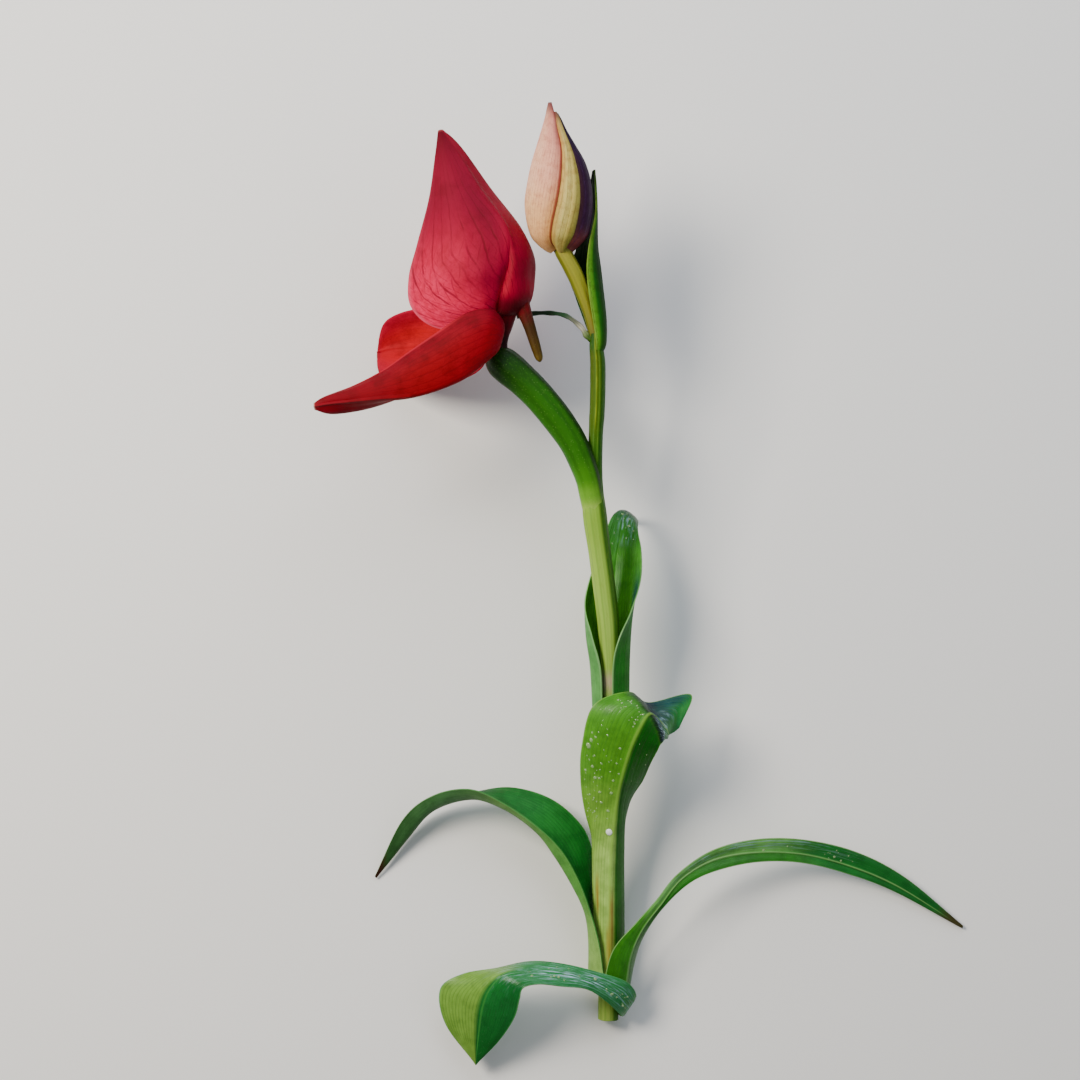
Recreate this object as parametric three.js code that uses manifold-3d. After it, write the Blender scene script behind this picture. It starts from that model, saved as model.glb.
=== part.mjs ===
// One picked stem of the pride of Table Mountain: a bloom, a bud and five leaves. Millimetres, +Z up.
// Every piece is laid out in the plant's own frame: x to the right and y up the stem, as the plant is
// looked at, z towards the onlooker, with the stem's cut end near y = 0. The whole is then leant back
// onto the surface it lies on, where it rests on its leaf tips and on the tip of the far sepal.
import * as THREE from 'three';
import Module from 'manifold-3d';

const LEAN = THREE.MathUtils.degToRad(10.5);
const LEAF_THICK = 0.8;
const SEPAL_THICK = 0.8;
const PETAL_THICK = 0.7;
const BRACT_THICK = 0.7;
const BUD_SEPAL_THICK = 0.9;
const BUD_SEAM = 0.6;
const OVARY_ROOM = 0.35;

// The bloom looks to the left and a little away from the onlooker, about a plane through its column.
const BLOOM_AXIS_X = -25.6;
const BLOOM_AXIS_Z = 0;
const BLOOM_TURN = THREE.MathUtils.degToRad(17);

const wasm = await Module();
wasm.setup();

// A smooth line through its points at t from 0 to 1, the ends run out straight.
function along(points, t) {
  const span = t * (points.length - 1);
  const i = Math.min(Math.floor(span), points.length - 2);
  const f = span - i;
  const b = points[i];
  const c = points[i + 1];
  const a = i > 0 ? points[i - 1] : b.map((v, k) => 2 * v - c[k]);
  const d = i + 2 < points.length ? points[i + 2] : c.map((v, k) => 2 * v - b[k]);
  return b.map((v, k) => 0.5 * (2 * v + (c[k] - a[k]) * f
    + (2 * a[k] - 5 * v + 4 * c[k] - d[k]) * f * f
    + (3 * v - a[k] - 3 * c[k] + d[k]) * f * f * f));
}

function toGeometry(points, faces) {
  const geometry = new THREE.BufferGeometry();
  geometry.setAttribute('position', new THREE.Float32BufferAttribute(points.flat(), 3));
  geometry.setIndex(faces.flat());
  return geometry;
}

// A blade of even thickness on a surface(u, v), u from its base to its tip and v across it. Both faces
// are split into triangles alike.
function blade(surface, thick, nu, nv) {
  const front = [];
  const back = [];
  const step = 1e-3;
  for (let i = 0; i <= nu; i += 1) {
    for (let j = 0; j <= nv; j += 1) {
      const u = i / nu;
      const v = j / nv;
      const p = new THREE.Vector3(...surface(u, v));
      const pu = new THREE.Vector3(...surface(Math.min(u + step, 1), v))
        .sub(new THREE.Vector3(...surface(Math.max(u - step, 0), v)));
      const pv = new THREE.Vector3(...surface(u, Math.min(v + step, 1)))
        .sub(new THREE.Vector3(...surface(u, Math.max(v - step, 0))));
      const n = pu.cross(pv).normalize().multiplyScalar(thick / 2);
      front.push(p.clone().add(n).toArray());
      back.push(p.clone().sub(n).toArray());
    }
  }
  const row = nv + 1;
  const size = front.length;
  const faces = [];
  for (let i = 0; i < nu; i += 1) {
    for (let j = 0; j < nv; j += 1) {
      const a = i * row + j;
      const b = a + row;
      faces.push([a, b, b + 1], [a, b + 1, a + 1]);
      faces.push([a + size, b + 1 + size, b + size], [a + size, a + 1 + size, b + 1 + size]);
    }
  }
  const rim = (a, b) => faces.push([a, b, b + size], [a, b + size, a + size]);
  for (let i = 0; i < nu; i += 1) {
    rim((i + 1) * row, i * row);
    rim(i * row + nv, (i + 1) * row + nv);
  }
  for (let j = 0; j < nv; j += 1) {
    rim(j, j + 1);
    rim(nu * row + j + 1, nu * row + j);
  }
  return toGeometry([...front, ...back], faces);
}

// A surface spanned by lines that all run from the base to the tip, side by side.
const spanned = (rails) => (u, v) => along(rails.map((rail) => along(rail, u)), v);

// A round solid along a line of [x, y, z, radius], closed at both ends.
function rod(line, sides, rings) {
  const points = [];
  const faces = [];
  for (let i = 0; i <= rings; i += 1) {
    const t = i / rings;
    const [x, y, z, r] = along(line, t);
    const ahead = along(line, Math.min(t + 1e-3, 1));
    const behind = along(line, Math.max(t - 1e-3, 0));
    const way = new THREE.Vector3(ahead[0] - behind[0], ahead[1] - behind[1], ahead[2] - behind[2]);
    const side = new THREE.Vector3(0, 0, 1).cross(way.normalize()).normalize();
    const up = way.clone().cross(side);
    for (let j = 0; j < sides; j += 1) {
      const turn = (2 * Math.PI * j) / sides;
      const spoke = side.clone().multiplyScalar(r * Math.cos(turn)).addScaledVector(up, r * Math.sin(turn));
      points.push([x + spoke.x, y + spoke.y, z + spoke.z]);
    }
  }
  for (let i = 0; i < rings; i += 1) {
    for (let j = 0; j < sides; j += 1) {
      const a = i * sides + j;
      const b = i * sides + ((j + 1) % sides);
      faces.push([a, b, b + sides], [a, b + sides, a + sides]);
    }
  }
  for (let j = 1; j < sides - 1; j += 1) {
    faces.push([0, j + 1, j]);
    faces.push([rings * sides, rings * sides + j, rings * sides + j + 1]);
  }
  return toGeometry(points, faces);
}

const solid = (geometry) => new wasm.Manifold(new wasm.Mesh({
  numProp: 3,
  vertProperties: new Float32Array(geometry.attributes.position.array),
  triVerts: new Uint32Array(geometry.index.array),
}));

function fromSolid(shape) {
  const mesh = shape.getMesh();
  const geometry = new THREE.BufferGeometry();
  geometry.setAttribute('position', new THREE.Float32BufferAttribute(mesh.vertProperties, 3));
  geometry.setIndex(Array.from(mesh.triVerts));
  return geometry;
}

// A point of the bloom given by where it shows, x and y, and by how far it lies to the bloom's near side.
function onBloom([x, y, out], side = 1) {
  const ahead = (BLOOM_AXIS_X - x - Math.sin(BLOOM_TURN) * out) / Math.cos(BLOOM_TURN);
  return [
    BLOOM_AXIS_X - Math.cos(BLOOM_TURN) * ahead - Math.sin(BLOOM_TURN) * out * side,
    y,
    BLOOM_AXIS_Z - Math.sin(BLOOM_TURN) * ahead + Math.cos(BLOOM_TURN) * out * side,
  ];
}

// Stem: [x, y, z, radius] from the cut end to the bud's foot.
const STEM = [
  [2.3, -8.5, 0, 2.7], [2.4, 5, 0, 2.65], [2.5, 20, 0, 2.65], [2.6, 36, 0, 2.75], [2.9, 56, 0, 2.9],
  [3.0, 75, 0, 2.5], [2.9, 87, 0, 2.6], [2.3, 98.6, 0, 2.95], [1.2, 108.3, 0, 3.05], [0, 117.5, 0, 3.05],
  [-1.4, 128, 0, 3.25], [-1.7, 134, -0.4, 2.7], [-1.4, 141, -0.6, 2.05], [-1.1, 150, -0.3, 1.95],
  [-0.7, 158, 0, 2.05], [-0.6, 168, 0, 2.05], [-1, 173, 0, 1.85], [-1.1, 176.8, 0, 1.65],
];
const OVARY = [
  [-1.2, 125.5, 0, 2.5], [-1.7, 129.4, 0, 3], [-2.4, 133.4, 0.4, 3.2], [-3.3, 137.6, 0.8, 3.3],
  [-4.9, 142.1, 1, 3.55], [-7.4, 147.6, 0.9, 3.85], [-11.6, 153.8, 0.4, 4.2], [-16.5, 159.8, 0, 4.3],
  [-20.9, 164.2, -0.3, 4.4], [-24.4, 167.2, -0.6, 4.6], [-27, 169.4, -0.8, 4.3], [-28.8, 170.9, -1, 3.1],
  [-29.8, 171.8, -1.1, 1.2],
];
const COLUMN = [
  [-29.9, 173.7, -1.1, 1.8], [-29.7, 175.6, -1.2, 2.1], [-30.5, 179, -1.5, 2.4], [-32, 183, -1.9, 2],
  [-33, 185.6, -2.2, 1],
];
const SPUR = [
  [-22.6, 187.6, 0.9, 3.2], [-21.7, 185, 1.2, 2.8], [-20.7, 182.9, 1.5, 2.2], [-19.8, 180.8, 1.7, 1.8],
  [-18.7, 177.6, 1.9, 1.55], [-17.3, 173, 2.1, 1.35], [-16.1, 169, 2.2, 1],
];
const CLAW = [
  [-24.4, 184, 1, 2.4], [-24.9, 181.2, 0.6, 2.1], [-25.4, 178.6, 0.2, 1.75], [-25.9, 176.3, -0.1, 1.4],
  [-26.2, 174.1, -0.3, 1.25],
];
const SIDE_BRACT = [
  [-3.5, 176.1, 0.3, 0.7], [-5.2, 178.6, -0.6, 0.55], [-9, 181.6, -3.4, 0.5], [-13.4, 182.6, -7, 0.5],
  [-18.5, 182.6, -10.4, 0.5], [-22.5, 181.8, -11.8, 0.45],
];

// Hood: lines from its foot over to its tip, as [x, y, out]; the far half mirrors the near one.
const HOOD_RIM = [
  [-28.2, 180.4, 1.6], [-37, 177.5, 7.4], [-45.5, 178.8, 10.2], [-50.8, 184, 11.4], [-51.3, 191.5, 11],
  [-49, 200.5, 9.4], [-46, 213, 6.2], [-44.5, 224.9, 2.6], [-43.9, 232, 0.5],
];
const HOOD_WALL = [
  [-27.8, 180.8, 1.2], [-32.6, 180.4, 7.2], [-38, 182.8, 11], [-41, 187.8, 12.4], [-41, 194.5, 12.4],
  [-39.5, 203, 11], [-40, 214, 7.4], [-42, 225.4, 3.2], [-43.6, 232.2, 0.4],
];
const HOOD_CREASE = [
  [-27.4, 181.1, 0.9], [-28.4, 182.5, 5.4], [-28.2, 185.5, 8], [-27.4, 190, 9], [-26.3, 196, 9],
  [-26.9, 204.3, 7.9], [-33.4, 214.8, 5.6], [-39.5, 226, 2.4], [-43.2, 232.3, 0.3],
];
const HOOD_POUCH = [
  [-27, 181.3, 0.4], [-25, 182.6, 3.4], [-23.4, 186, 5.2], [-22.4, 191.4, 6], [-22.2, 197.6, 6],
  [-25, 205.6, 5.2], [-32, 215.8, 3.4], [-38.8, 226.8, 1.4], [-42.9, 232.3, 0.15],
];
const HOOD_BACK = [
  [-26.7, 181.4, 0], [-22.2, 182.4, 0], [-19.4, 186.4, 0], [-19, 192, 0], [-19, 198, 0],
  [-22.4, 205.8, 0], [-30.3, 216.5, 0], [-37.9, 227.2, 0], [-42.7, 232.3, 0],
];

const SEPAL_NEAR = [
  [[-27.6, 177, 1.9], [-25.9, 179.4, 5], [-29.4, 183, 7.6], [-35.9, 181.8, 9.4], [-43.4, 176.8, 10.8],
    [-50.8, 171.6, 12.4], [-57.6, 166.6, 14], [-65.4, 162.4, 15.8], [-73, 159.4, 17.6], [-75.9, 157.6, 18.2]],
  [[-28, 175.6, 2.2], [-26.3, 176.4, 6.4], [-29.8, 177.4, 9.6], [-35.7, 175, 12], [-43, 170.6, 13.6],
    [-50.5, 166.8, 15], [-57.8, 163.4, 16.4], [-65.4, 160.6, 17.6], [-72.7, 158.5, 18.6], [-75.9, 157.2, 18.5]],
  [[-28.4, 174.2, 2.2], [-27.4, 172.6, 6], [-31, 169.2, 9.2], [-36.4, 165, 11.8], [-43.2, 161.8, 13.8],
    [-50.4, 159.8, 15.6], [-58, 159.1, 17.2], [-65.5, 158.3, 18.2], [-72.7, 157.5, 18.8], [-75.9, 156.8, 18.6]],
  [[-28.8, 173.2, 1.9], [-28.6, 172, 3.6], [-32.2, 169.4, 5.6], [-37.6, 165.8, 7.8], [-44.2, 162.4, 10],
    [-51, 159.8, 12.4], [-58, 158.3, 14.6], [-65.4, 156.9, 16.4], [-72.1, 156, 17.8], [-75.8, 156.4, 18.4]],
  [[-29.1, 172.4, 1.5], [-29.4, 172.3, 2.4], [-33.2, 170.2, 3.4], [-38.8, 166.8, 5], [-45.2, 163.4, 7.2],
    [-51.6, 160, 9.8], [-58.2, 157.4, 12.6], [-64.9, 155.7, 15], [-71.4, 154.9, 17], [-75.7, 156, 18.1]],
];
const SEPAL_FAR = [
  [[-28.6, 177.2, -4.6], [-31.6, 178.4, -13.2], [-37, 182.8, -20.4], [-44.4, 184.8, -24],
    [-51.6, 184.4, -26.4], [-57, 182.9, -29.2], [-60, 180.8, -31.6], [-61.4, 177, -34.4], [-62, 173.6, -36]],
  [[-29, 176.4, -4.9], [-31.8, 176.2, -13.2], [-36.8, 178.8, -20.8], [-44, 180, -25.4],
    [-50.6, 180, -28.6], [-55.6, 179, -31.4], [-59.2, 177.4, -33.5], [-61.1, 175.2, -35.2], [-62, 173.2, -36.1]],
  [[-29.4, 175.4, -5], [-32, 173.4, -12], [-36.8, 173.8, -19.3], [-43.2, 174.4, -24.7],
    [-49.6, 174.6, -28.8], [-54.8, 174.3, -32.2], [-58.8, 173.8, -34.3], [-61, 173.2, -35.6], [-62.1, 172.8, -36.1]],
  [[-29.6, 174.4, -4.8], [-32, 170.4, -9.8], [-37, 168.8, -15.8], [-43.4, 168, -21.2],
    [-49.8, 168.4, -25.9], [-55.2, 169.4, -30], [-59.2, 170.2, -33.2], [-61.2, 171.2, -35.3], [-62.2, 172.4, -36]],
  [[-29.6, 173.4, -4.4], [-32.4, 167.8, -7.6], [-38, 164.6, -11.8], [-44.4, 163, -16.6],
    [-50.8, 163, -21.8], [-56.2, 164, -26.8], [-60.2, 165.6, -31.2], [-61.8, 168.4, -34.4], [-62.2, 172, -35.8]],
];

// Inner petals, given on the near side; the far one mirrors it.
const PETAL = [
  [[-31.4, 182.5, 2.6], [-33.8, 188, 3.8], [-36, 193.6, 4], [-37.2, 199.2, 2.8]],
  [[-33, 181.6, 3.2], [-36.6, 187, 5.2], [-38.4, 193, 5.2], [-37.6, 199.3, 3.2]],
  [[-34.6, 180.8, 2.6], [-39, 186.4, 3.8], [-40.4, 192.6, 4], [-38, 199.2, 2.8]],
];
const LIP = [
  [[-32.5, 174.6, -0.6], [-38.4, 173.6, -2], [-45, 170.6, -4.4], [-50.4, 166.6, -6.8]],
  [[-32.5, 173.9, -1.9], [-38.6, 172.4, -3.8], [-45, 169.4, -6], [-50.5, 166.3, -7.3]],
  [[-32.5, 173.9, -3.2], [-38.4, 172.8, -5.6], [-45, 169.9, -7.4], [-50.4, 166.4, -7.8]],
];

// Bud: [y, axis x, radius] from its foot to its tip, then where its seams lie, in degrees round the axis
// from the right-hand side towards the onlooker.
const BUD = [
  [199.6, -10.6, 2.2], [201.2, -11, 6], [204.4, -11, 8.2], [211.4, -11.15, 9.2], [217.6, -11, 8.6],
  [222.8, -11.2, 7.3], [227, -11.75, 5.5], [231.5, -12.4, 3.5], [235.7, -12.8, 1.95], [239.6, -13.4, 0.75],
];
const BUD_HEART = [
  [-10.8, 200.8, 0, 1.4], [-11, 202.6, 0, 3.6], [-11, 206, 0, 5.2], [-11.15, 211.4, 0, 5.8],
  [-11, 217.6, 0, 5.4], [-11.2, 222.8, 0, 4.6], [-11.75, 227, 0, 3.3], [-12.4, 231.2, 0, 1.9],
  [-12.8, 234, 0, 0.7],
];
const BUD_FRONT_SEAM = [[116], [112], [106], [93], [87], [82], [74], [68], [64], [62]];
const BUD_RIGHT_SEAM = [[60], [58], [55], [48], [47], [47], [42], [34], [29], [26]];
const BUD_BACK_SEAM = 232;
const BUD_OVARY = [
  [-10, 198.9, 0.4, 1.7], [-8.7, 196.4, 0.3, 2.1], [-6.6, 192.4, 0, 2.25], [-4.6, 187.5, -0.2, 2.1],
  [-2.9, 182.5, -0.3, 1.8], [-1.7, 177.5, -0.2, 1.55],
];
const BUD_BRACT = [
  [[-1.1, 174.6, 2.5], [-1.9, 180, 2.8], [-3, 187, 3], [-3.6, 194, 2.7], [-2.9, 201, 1.9], [-1.2, 210, 0.4],
    [-1.4, 221, -2.5]],
  [[0.8, 174.6, 1.85], [0.7, 180, 1.9], [-0.2, 187, 1.8], [-1.1, 194, 1.3], [-1.5, 201, 0.3], [-0.9, 210, -0.9],
    [-1.4, 221.2, -2.7]],
  [[1.45, 174.6, -0.2], [1.35, 180, -0.4], [0.6, 187, -0.9], [-0.2, 194, -1.5], [-1, 201, -2.2],
    [-1.1, 210, -3], [-1.5, 221.3, -3]],
  [[0.1, 174.6, -2.45], [-0.7, 180, -2.8], [-2.1, 187, -3.5], [-3.4, 193.6, -4.5], [-3, 201, -6.2],
    [-2.2, 210, -6], [-1.7, 221.2, -3.3]],
  [[-2.4, 174.6, -2.5], [-4.2, 180, -3.1], [-6.7, 187, -3.6], [-8.4, 193.3, -4.8], [-6, 201, -8.4],
    [-3.8, 210, -8.2], [-2, 221, -3.6]],
];

const LEAF_UPPER = [
  [[0.6, 72.5, 3.6], [0.1, 86, 3.8], [-2.2, 95, 2.9], [-4.1, 102.7, -0.8], [-2.8, 110, -4.8],
    [0.6, 119, -9.5], [3.2, 126.4, -14], [6, 128.2, -20.6], [8.6, 125.8, -27.62]],
  [[-1.5, 72, -0.6], [-2.2, 86, -0.8], [-3.2, 95, -2], [-2.8, 102.7, -4.6], [-0.4, 110, -7.4],
    [2.3, 118.6, -10.8], [4.8, 126.6, -14.8], [6.9, 128.4, -20.8], [8.8, 125.6, -27.62]],
  [[3.2, 72, -4.1], [3.1, 86, -4.4], [3, 94, -5.2], [3.4, 102, -6.6], [4.2, 110, -8.6], [5.2, 118, -11.4],
    [6.7, 126.2, -15.2], [8.1, 128, -21], [9, 125.4, -27.62]],
  [[7.6, 72, -0.6], [7.7, 86, -0.8], [8, 94.5, -1.6], [8.4, 102, -3.4], [8.8, 110, -6.2], [8.8, 118, -9.6],
    [9.1, 124.8, -14.2], [9.4, 127, -20.8], [9.3, 125.2, -27.62]],
  [[3.4, 72.5, 4], [3.4, 87, 4.1], [5, 94.5, 4.1], [8.4, 102, 2.2], [11, 110, -2], [11.4, 118, -6.5],
    [10.6, 123.4, -12.6], [10.9, 125.8, -20.4], [9.7, 125, -27.62]],
];
const LEAF_FRONT = [
  [[0.3, 1, -3.2], [0.3, 19, -3.2], [-0.8, 35, -2.8], [-4.2, 48.6, 1.8], [-5.3, 57.5, 4.6], [-5, 66.4, 8],
    [-1.9, 77.2, 10.2], [7.4, 81, 8.4], [11.4, 79.4, 2.2], [24.6, 79.2, -0.4], [21.2, 70.6, 3.6]],
  [[-1.5, 1, 0.4], [-1.5, 19, 0.4], [-1.6, 35, 0.9], [-1, 48.8, 5], [-0.6, 57.6, 7.8], [0.6, 66.6, 11.2],
    [3.8, 75.6, 13.2], [9.6, 78.9, 11.8], [13.1, 76.9, 5], [20.4, 75.6, 2], [19.8, 69.6, 4.8]],
  [[2.4, 1, 3.9], [2.4, 19, 3.9], [2.7, 35, 4.1], [4, 49, 6.2], [5.4, 57.4, 9], [7.8, 66, 12.2],
    [10.3, 71.8, 14.2], [12.4, 75, 14], [14.4, 74, 11.4], [16.7, 71.4, 8.6], [18.3, 69, 6.4]],
  [[6.2, 1, 0.4], [6.2, 19, 0.4], [6.1, 35, 0.9], [6.2, 49.2, 4.4], [8.4, 57, 7.2], [10.7, 64, 10.4],
    [12.9, 69, 12.6], [14.3, 71.6, 12.8], [15.5, 71.2, 12], [16.7, 69.8, 10.2], [18, 68.5, 7.8]],
  [[4.5, 1, -3.2], [4.5, 19, -3.2], [5.3, 35, -2.6], [7.7, 49.6, 1.6], [11.4, 56.6, 4.4], [13.4, 61.6, 7.8],
    [15, 65, 10.2], [15.8, 66.8, 11], [16.4, 67.6, 10.8], [17, 68.1, 10], [17.7, 68.1, 8.4]],
];
const LEAF_LEFT = [
  [[0.2, 4, -5], [-0.3, 14, -5.1], [-0.8, 24, -5.2], [-1.6, 34, -5.6], [-4.5, 42.6, -6.3], [-12.7, 50, -7.3],
    [-23.8, 53.3, -8], [-34, 51.8, -9], [-44, 48.4, -10.2], [-52, 42, -10.6], [-60.7, 28.9, -9.35]],
  [[-2.9, 4, 0.3], [-2.9, 13, 0.4], [-3.9, 20.9, 0.8], [-7.2, 28.4, 0.8], [-11.8, 36, 0.3],
    [-17.2, 43, -0.8], [-25.5, 48.4, -2], [-35, 50.9, -3.8], [-45.4, 47.6, -6], [-52.6, 39.5, -8.2],
    [-61, 28.5, -9.35]],
  [[0.8, 5, 5.5], [-0.4, 13, 5.3], [-2.8, 21.6, 4.4], [-6, 30, 3.7], [-10.5, 37.6, 3], [-17.1, 44.1, 2.2],
    [-25.6, 49.9, 1.2], [-35, 53.6, 0.2], [-45.2, 51.6, -2.6], [-53.6, 44.6, -6.2], [-61.3, 28.9, -9.25]],
];
const LEAF_RIGHT = [
  [[0.7, 1.8, 5.8], [3.4, 11.4, 6.7], [9.6, 18.6, 6], [14.9, 24.4, 5.4], [20.8, 31.4, 4.2], [30.2, 37.5, 2],
    [42.1, 40.1, -0.5], [55.6, 39.6, -3], [69.9, 36, -5.2], [83.4, 28.8, -6.7], [99, 15.8, -6.8]],
  [[6.3, -0.2, 4.3], [7.8, 9.6, 5], [10.9, 16.7, 4.7], [15.9, 23.2, 4.2], [22, 30.1, 2.8], [31, 34.8, 0.4],
    [42.4, 36.4, -2.2], [55.2, 35.6, -4.6], [68.2, 32.1, -6.2], [81.4, 26.4, -7.1], [98.9, 15.4, -6.8]],
  [[7.8, -1, -1], [9.5, 8.2, 0.8], [11.9, 14.9, 2.6], [16.9, 22.3, 3.6], [24.1, 28.8, 3.2], [32.4, 32.2, 1.6],
    [43.1, 34, -0.8], [54.8, 33.4, -3.2], [67.2, 30.2, -5.1], [80.4, 25, -6.6], [98.8, 15, -6.8]],
];
const LEAF_LOW = [
  [[4.8, -3.6, -2.55], [6.5, -3.8, 0.2], [9.6, -1.4, 3.8], [7, 2.9, 6.8], [0, 5.6, 8.4], [-10, 8, 8.6],
    [-19, 8.4, 7.4], [-28, 6.4, 6], [-37, 4.6, 4.6], [-43, 0.4, 3.6], [-41.6, -9, 3.4], [-33.6, -19.6, 3.8]],
  [[4.8, -5.6, -2.5], [6.2, -5.8, 0.1], [7.6, -4, 4], [4.4, 0.2, 7.6], [-2, 3.6, 9.8], [-10.5, 5.6, 11.2],
    [-18.6, 6.4, 12], [-25.6, 5.4, 12], [-29.6, 1.6, 10.8], [-31.6, -4, 8.6], [-32.6, -11.6, 6],
    [-33.4, -20, 3.9]],
  [[4.7, -7.4, -2.5], [6, -7.6, -0.1], [5.4, -6.4, 4.2], [1.6, -2.2, 8.1], [-3.6, 1.6, 11], [-10.6, 2.8, 13],
    [-16.6, 3.6, 14.4], [-20.6, 2.6, 14.6], [-21.6, -0.6, 13.4], [-23, -6, 10.6], [-27, -12.6, 7.4],
    [-33.2, -19.6, 4.1]],
];

function budShell(from, to, top) {
  return (s, v) => {
    const u = 0.02 + (top - 0.02) * s;
    const [y, x, r] = along(BUD, u);
    const pad = THREE.MathUtils.radToDeg(BUD_SEAM / Math.max(r, 1)) / 2;
    const turn = THREE.MathUtils.degToRad(THREE.MathUtils.lerp(from(u) + pad, to(u) - pad, v));
    const depth = r - BUD_SEPAL_THICK / 2;
    return [x + depth * Math.cos(turn), y, depth * Math.sin(turn)];
  };
}

const seam = (line) => (u) => along(line, u)[0];
const hoodRails = [
  ...[HOOD_RIM, HOOD_WALL, HOOD_CREASE, HOOD_POUCH, HOOD_BACK].map((rail) => rail.map((p) => onBloom(p))),
  ...[HOOD_POUCH, HOOD_CREASE, HOOD_WALL, HOOD_RIM].map((rail) => rail.map((p) => onBloom(p, -1))),
];

const group = new THREE.Group();
const green = new THREE.MeshStandardMaterial({ color: 0x3f7a26 });
const red = new THREE.MeshStandardMaterial({ color: 0xb0142c });
const pale = new THREE.MeshStandardMaterial({ color: 0xd8b48c });

function add(name, geometry, material) {
  geometry.applyMatrix4(new THREE.Matrix4().makeRotationX(LEAN));
  const mesh = new THREE.Mesh(geometry, material);
  mesh.name = name;
  group.add(mesh);
}

add('stem', rod(STEM, 12, 30), green);
add('leaf_upper', blade(spanned(LEAF_UPPER), LEAF_THICK, 20, 10), green);
add('leaf_front', blade(spanned(LEAF_FRONT), LEAF_THICK, 28, 12), green);
add('leaf_left', blade(spanned(LEAF_LEFT), LEAF_THICK, 20, 6), green);
add('leaf_right', blade(spanned(LEAF_RIGHT), LEAF_THICK, 20, 6), green);
add('leaf_low', blade(spanned(LEAF_LOW), LEAF_THICK, 22, 6), green);
const stemWithRoom = STEM.map(([x, y, z, r]) => [x, y, z, r + OVARY_ROOM]);
add('ovary', fromSolid(solid(rod(OVARY, 14, 24)).subtract(solid(rod(stemWithRoom, 16, 30)))), green);
add('column', rod(COLUMN, 10, 6), red);
const hoodSheet = blade(spanned(hoodRails), SEPAL_THICK, 18, 22);
const hoodFeet = solid(rod(SPUR, 10, 8)).add(solid(rod(CLAW, 10, 6)));
add('hood', fromSolid(solid(hoodSheet).add(hoodFeet)), red);
add('sepal_near', blade(spanned(SEPAL_NEAR), SEPAL_THICK, 18, 8), red);
add('sepal_far', blade(spanned(SEPAL_FAR), SEPAL_THICK, 16, 8), red);
add('petal_near', blade(spanned(PETAL.map((rail) => rail.map((p) => onBloom(p)))), PETAL_THICK, 6, 4), pale);
add('petal_far', blade(spanned(PETAL.map((rail) => rail.map((p) => onBloom(p, -1)))), PETAL_THICK, 6, 4), pale);
add('lip', blade(spanned(LIP), PETAL_THICK, 6, 4), red);
add('side_bract', rod(SIDE_BRACT, 6, 10), green);
add('bud_ovary', rod(BUD_OVARY, 10, 10), green);
add('bud_bract', blade(spanned(BUD_BRACT), BRACT_THICK, 14, 8), green);
add('bud_heart', rod(BUD_HEART, 12, 12), pale);
add('bud_sepal_left', blade(budShell(seam(BUD_FRONT_SEAM), () => BUD_BACK_SEAM, 0.985), BUD_SEPAL_THICK, 16, 8), pale);
add('bud_sepal_right', blade(budShell(seam(BUD_RIGHT_SEAM), seam(BUD_FRONT_SEAM), 0.91), BUD_SEPAL_THICK, 16, 4), pale);
add('bud_hood', blade(budShell(() => BUD_BACK_SEAM - 360, seam(BUD_RIGHT_SEAM), 0.9), BUD_SEPAL_THICK, 16, 10), red);

const box = new THREE.Box3().setFromObject(group);
const shift = [-(box.min.x + box.max.x) / 2, -(box.min.y + box.max.y) / 2, -box.min.z];
group.children.forEach((mesh) => mesh.geometry.translate(...shift));

export default group;
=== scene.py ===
"""Looks of one cut stem of the pride of Table Mountain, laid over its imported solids.

The lines below are in millimetres in the plant's own frame, as in the solids' source: x to the right and y up the
stem as the plant is looked at, z towards the onlooker. place() leans them back onto the surface, in metres.
Every surface has a u from 0 at its base to 1 at its tip, and a v from 0 to 1 across it.
"""

import math
import random

import bmesh
import bpy
import numpy as np
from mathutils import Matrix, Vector


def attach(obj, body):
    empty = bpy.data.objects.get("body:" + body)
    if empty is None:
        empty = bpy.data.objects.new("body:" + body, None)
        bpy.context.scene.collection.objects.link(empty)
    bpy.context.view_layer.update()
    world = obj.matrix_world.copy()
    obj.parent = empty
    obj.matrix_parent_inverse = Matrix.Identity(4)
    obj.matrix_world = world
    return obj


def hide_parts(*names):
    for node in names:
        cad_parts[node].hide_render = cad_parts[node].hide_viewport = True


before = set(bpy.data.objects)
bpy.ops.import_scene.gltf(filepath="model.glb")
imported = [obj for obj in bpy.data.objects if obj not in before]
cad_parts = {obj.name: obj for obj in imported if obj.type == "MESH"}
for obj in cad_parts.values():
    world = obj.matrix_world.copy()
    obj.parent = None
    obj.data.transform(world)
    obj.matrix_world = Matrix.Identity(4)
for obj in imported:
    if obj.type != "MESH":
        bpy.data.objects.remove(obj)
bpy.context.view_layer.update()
bpy.ops.object.select_all(action="DESELECT")
rng = random.Random(7)

MM = 1000
LEAN = math.radians(10.5)
PLANT_AT = np.array([-11.4992, -107.3753, 4.3895])
BLOOM_AXIS_X = -25.6
BLOOM_TURN = math.radians(17)
LEAF_THICK = 0.8
SEPAL_THICK = 0.8
PETAL_THICK = 0.7
BRACT_THICK = 0.7
BUD_SEPAL_THICK = 0.9
BUD_SEAM = 0.25

# A sheet thins over these shares of its width and length, down to this share of its thickness
RIM_WIDTH = 0.16
TIP_LENGTH = 0.06
RIM_THIN = 0.4
BUD_RIM_THIN = 0.6

STEP = 1e-3
MERGE_WITHIN = 1e-7
# Rows that close a round piece: how far along its line, and the share of its radius
ROUND_END = [(0, 0), (0, 0.6), (0, 0.9), (0.0008, 1)]


# Shapes

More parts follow.
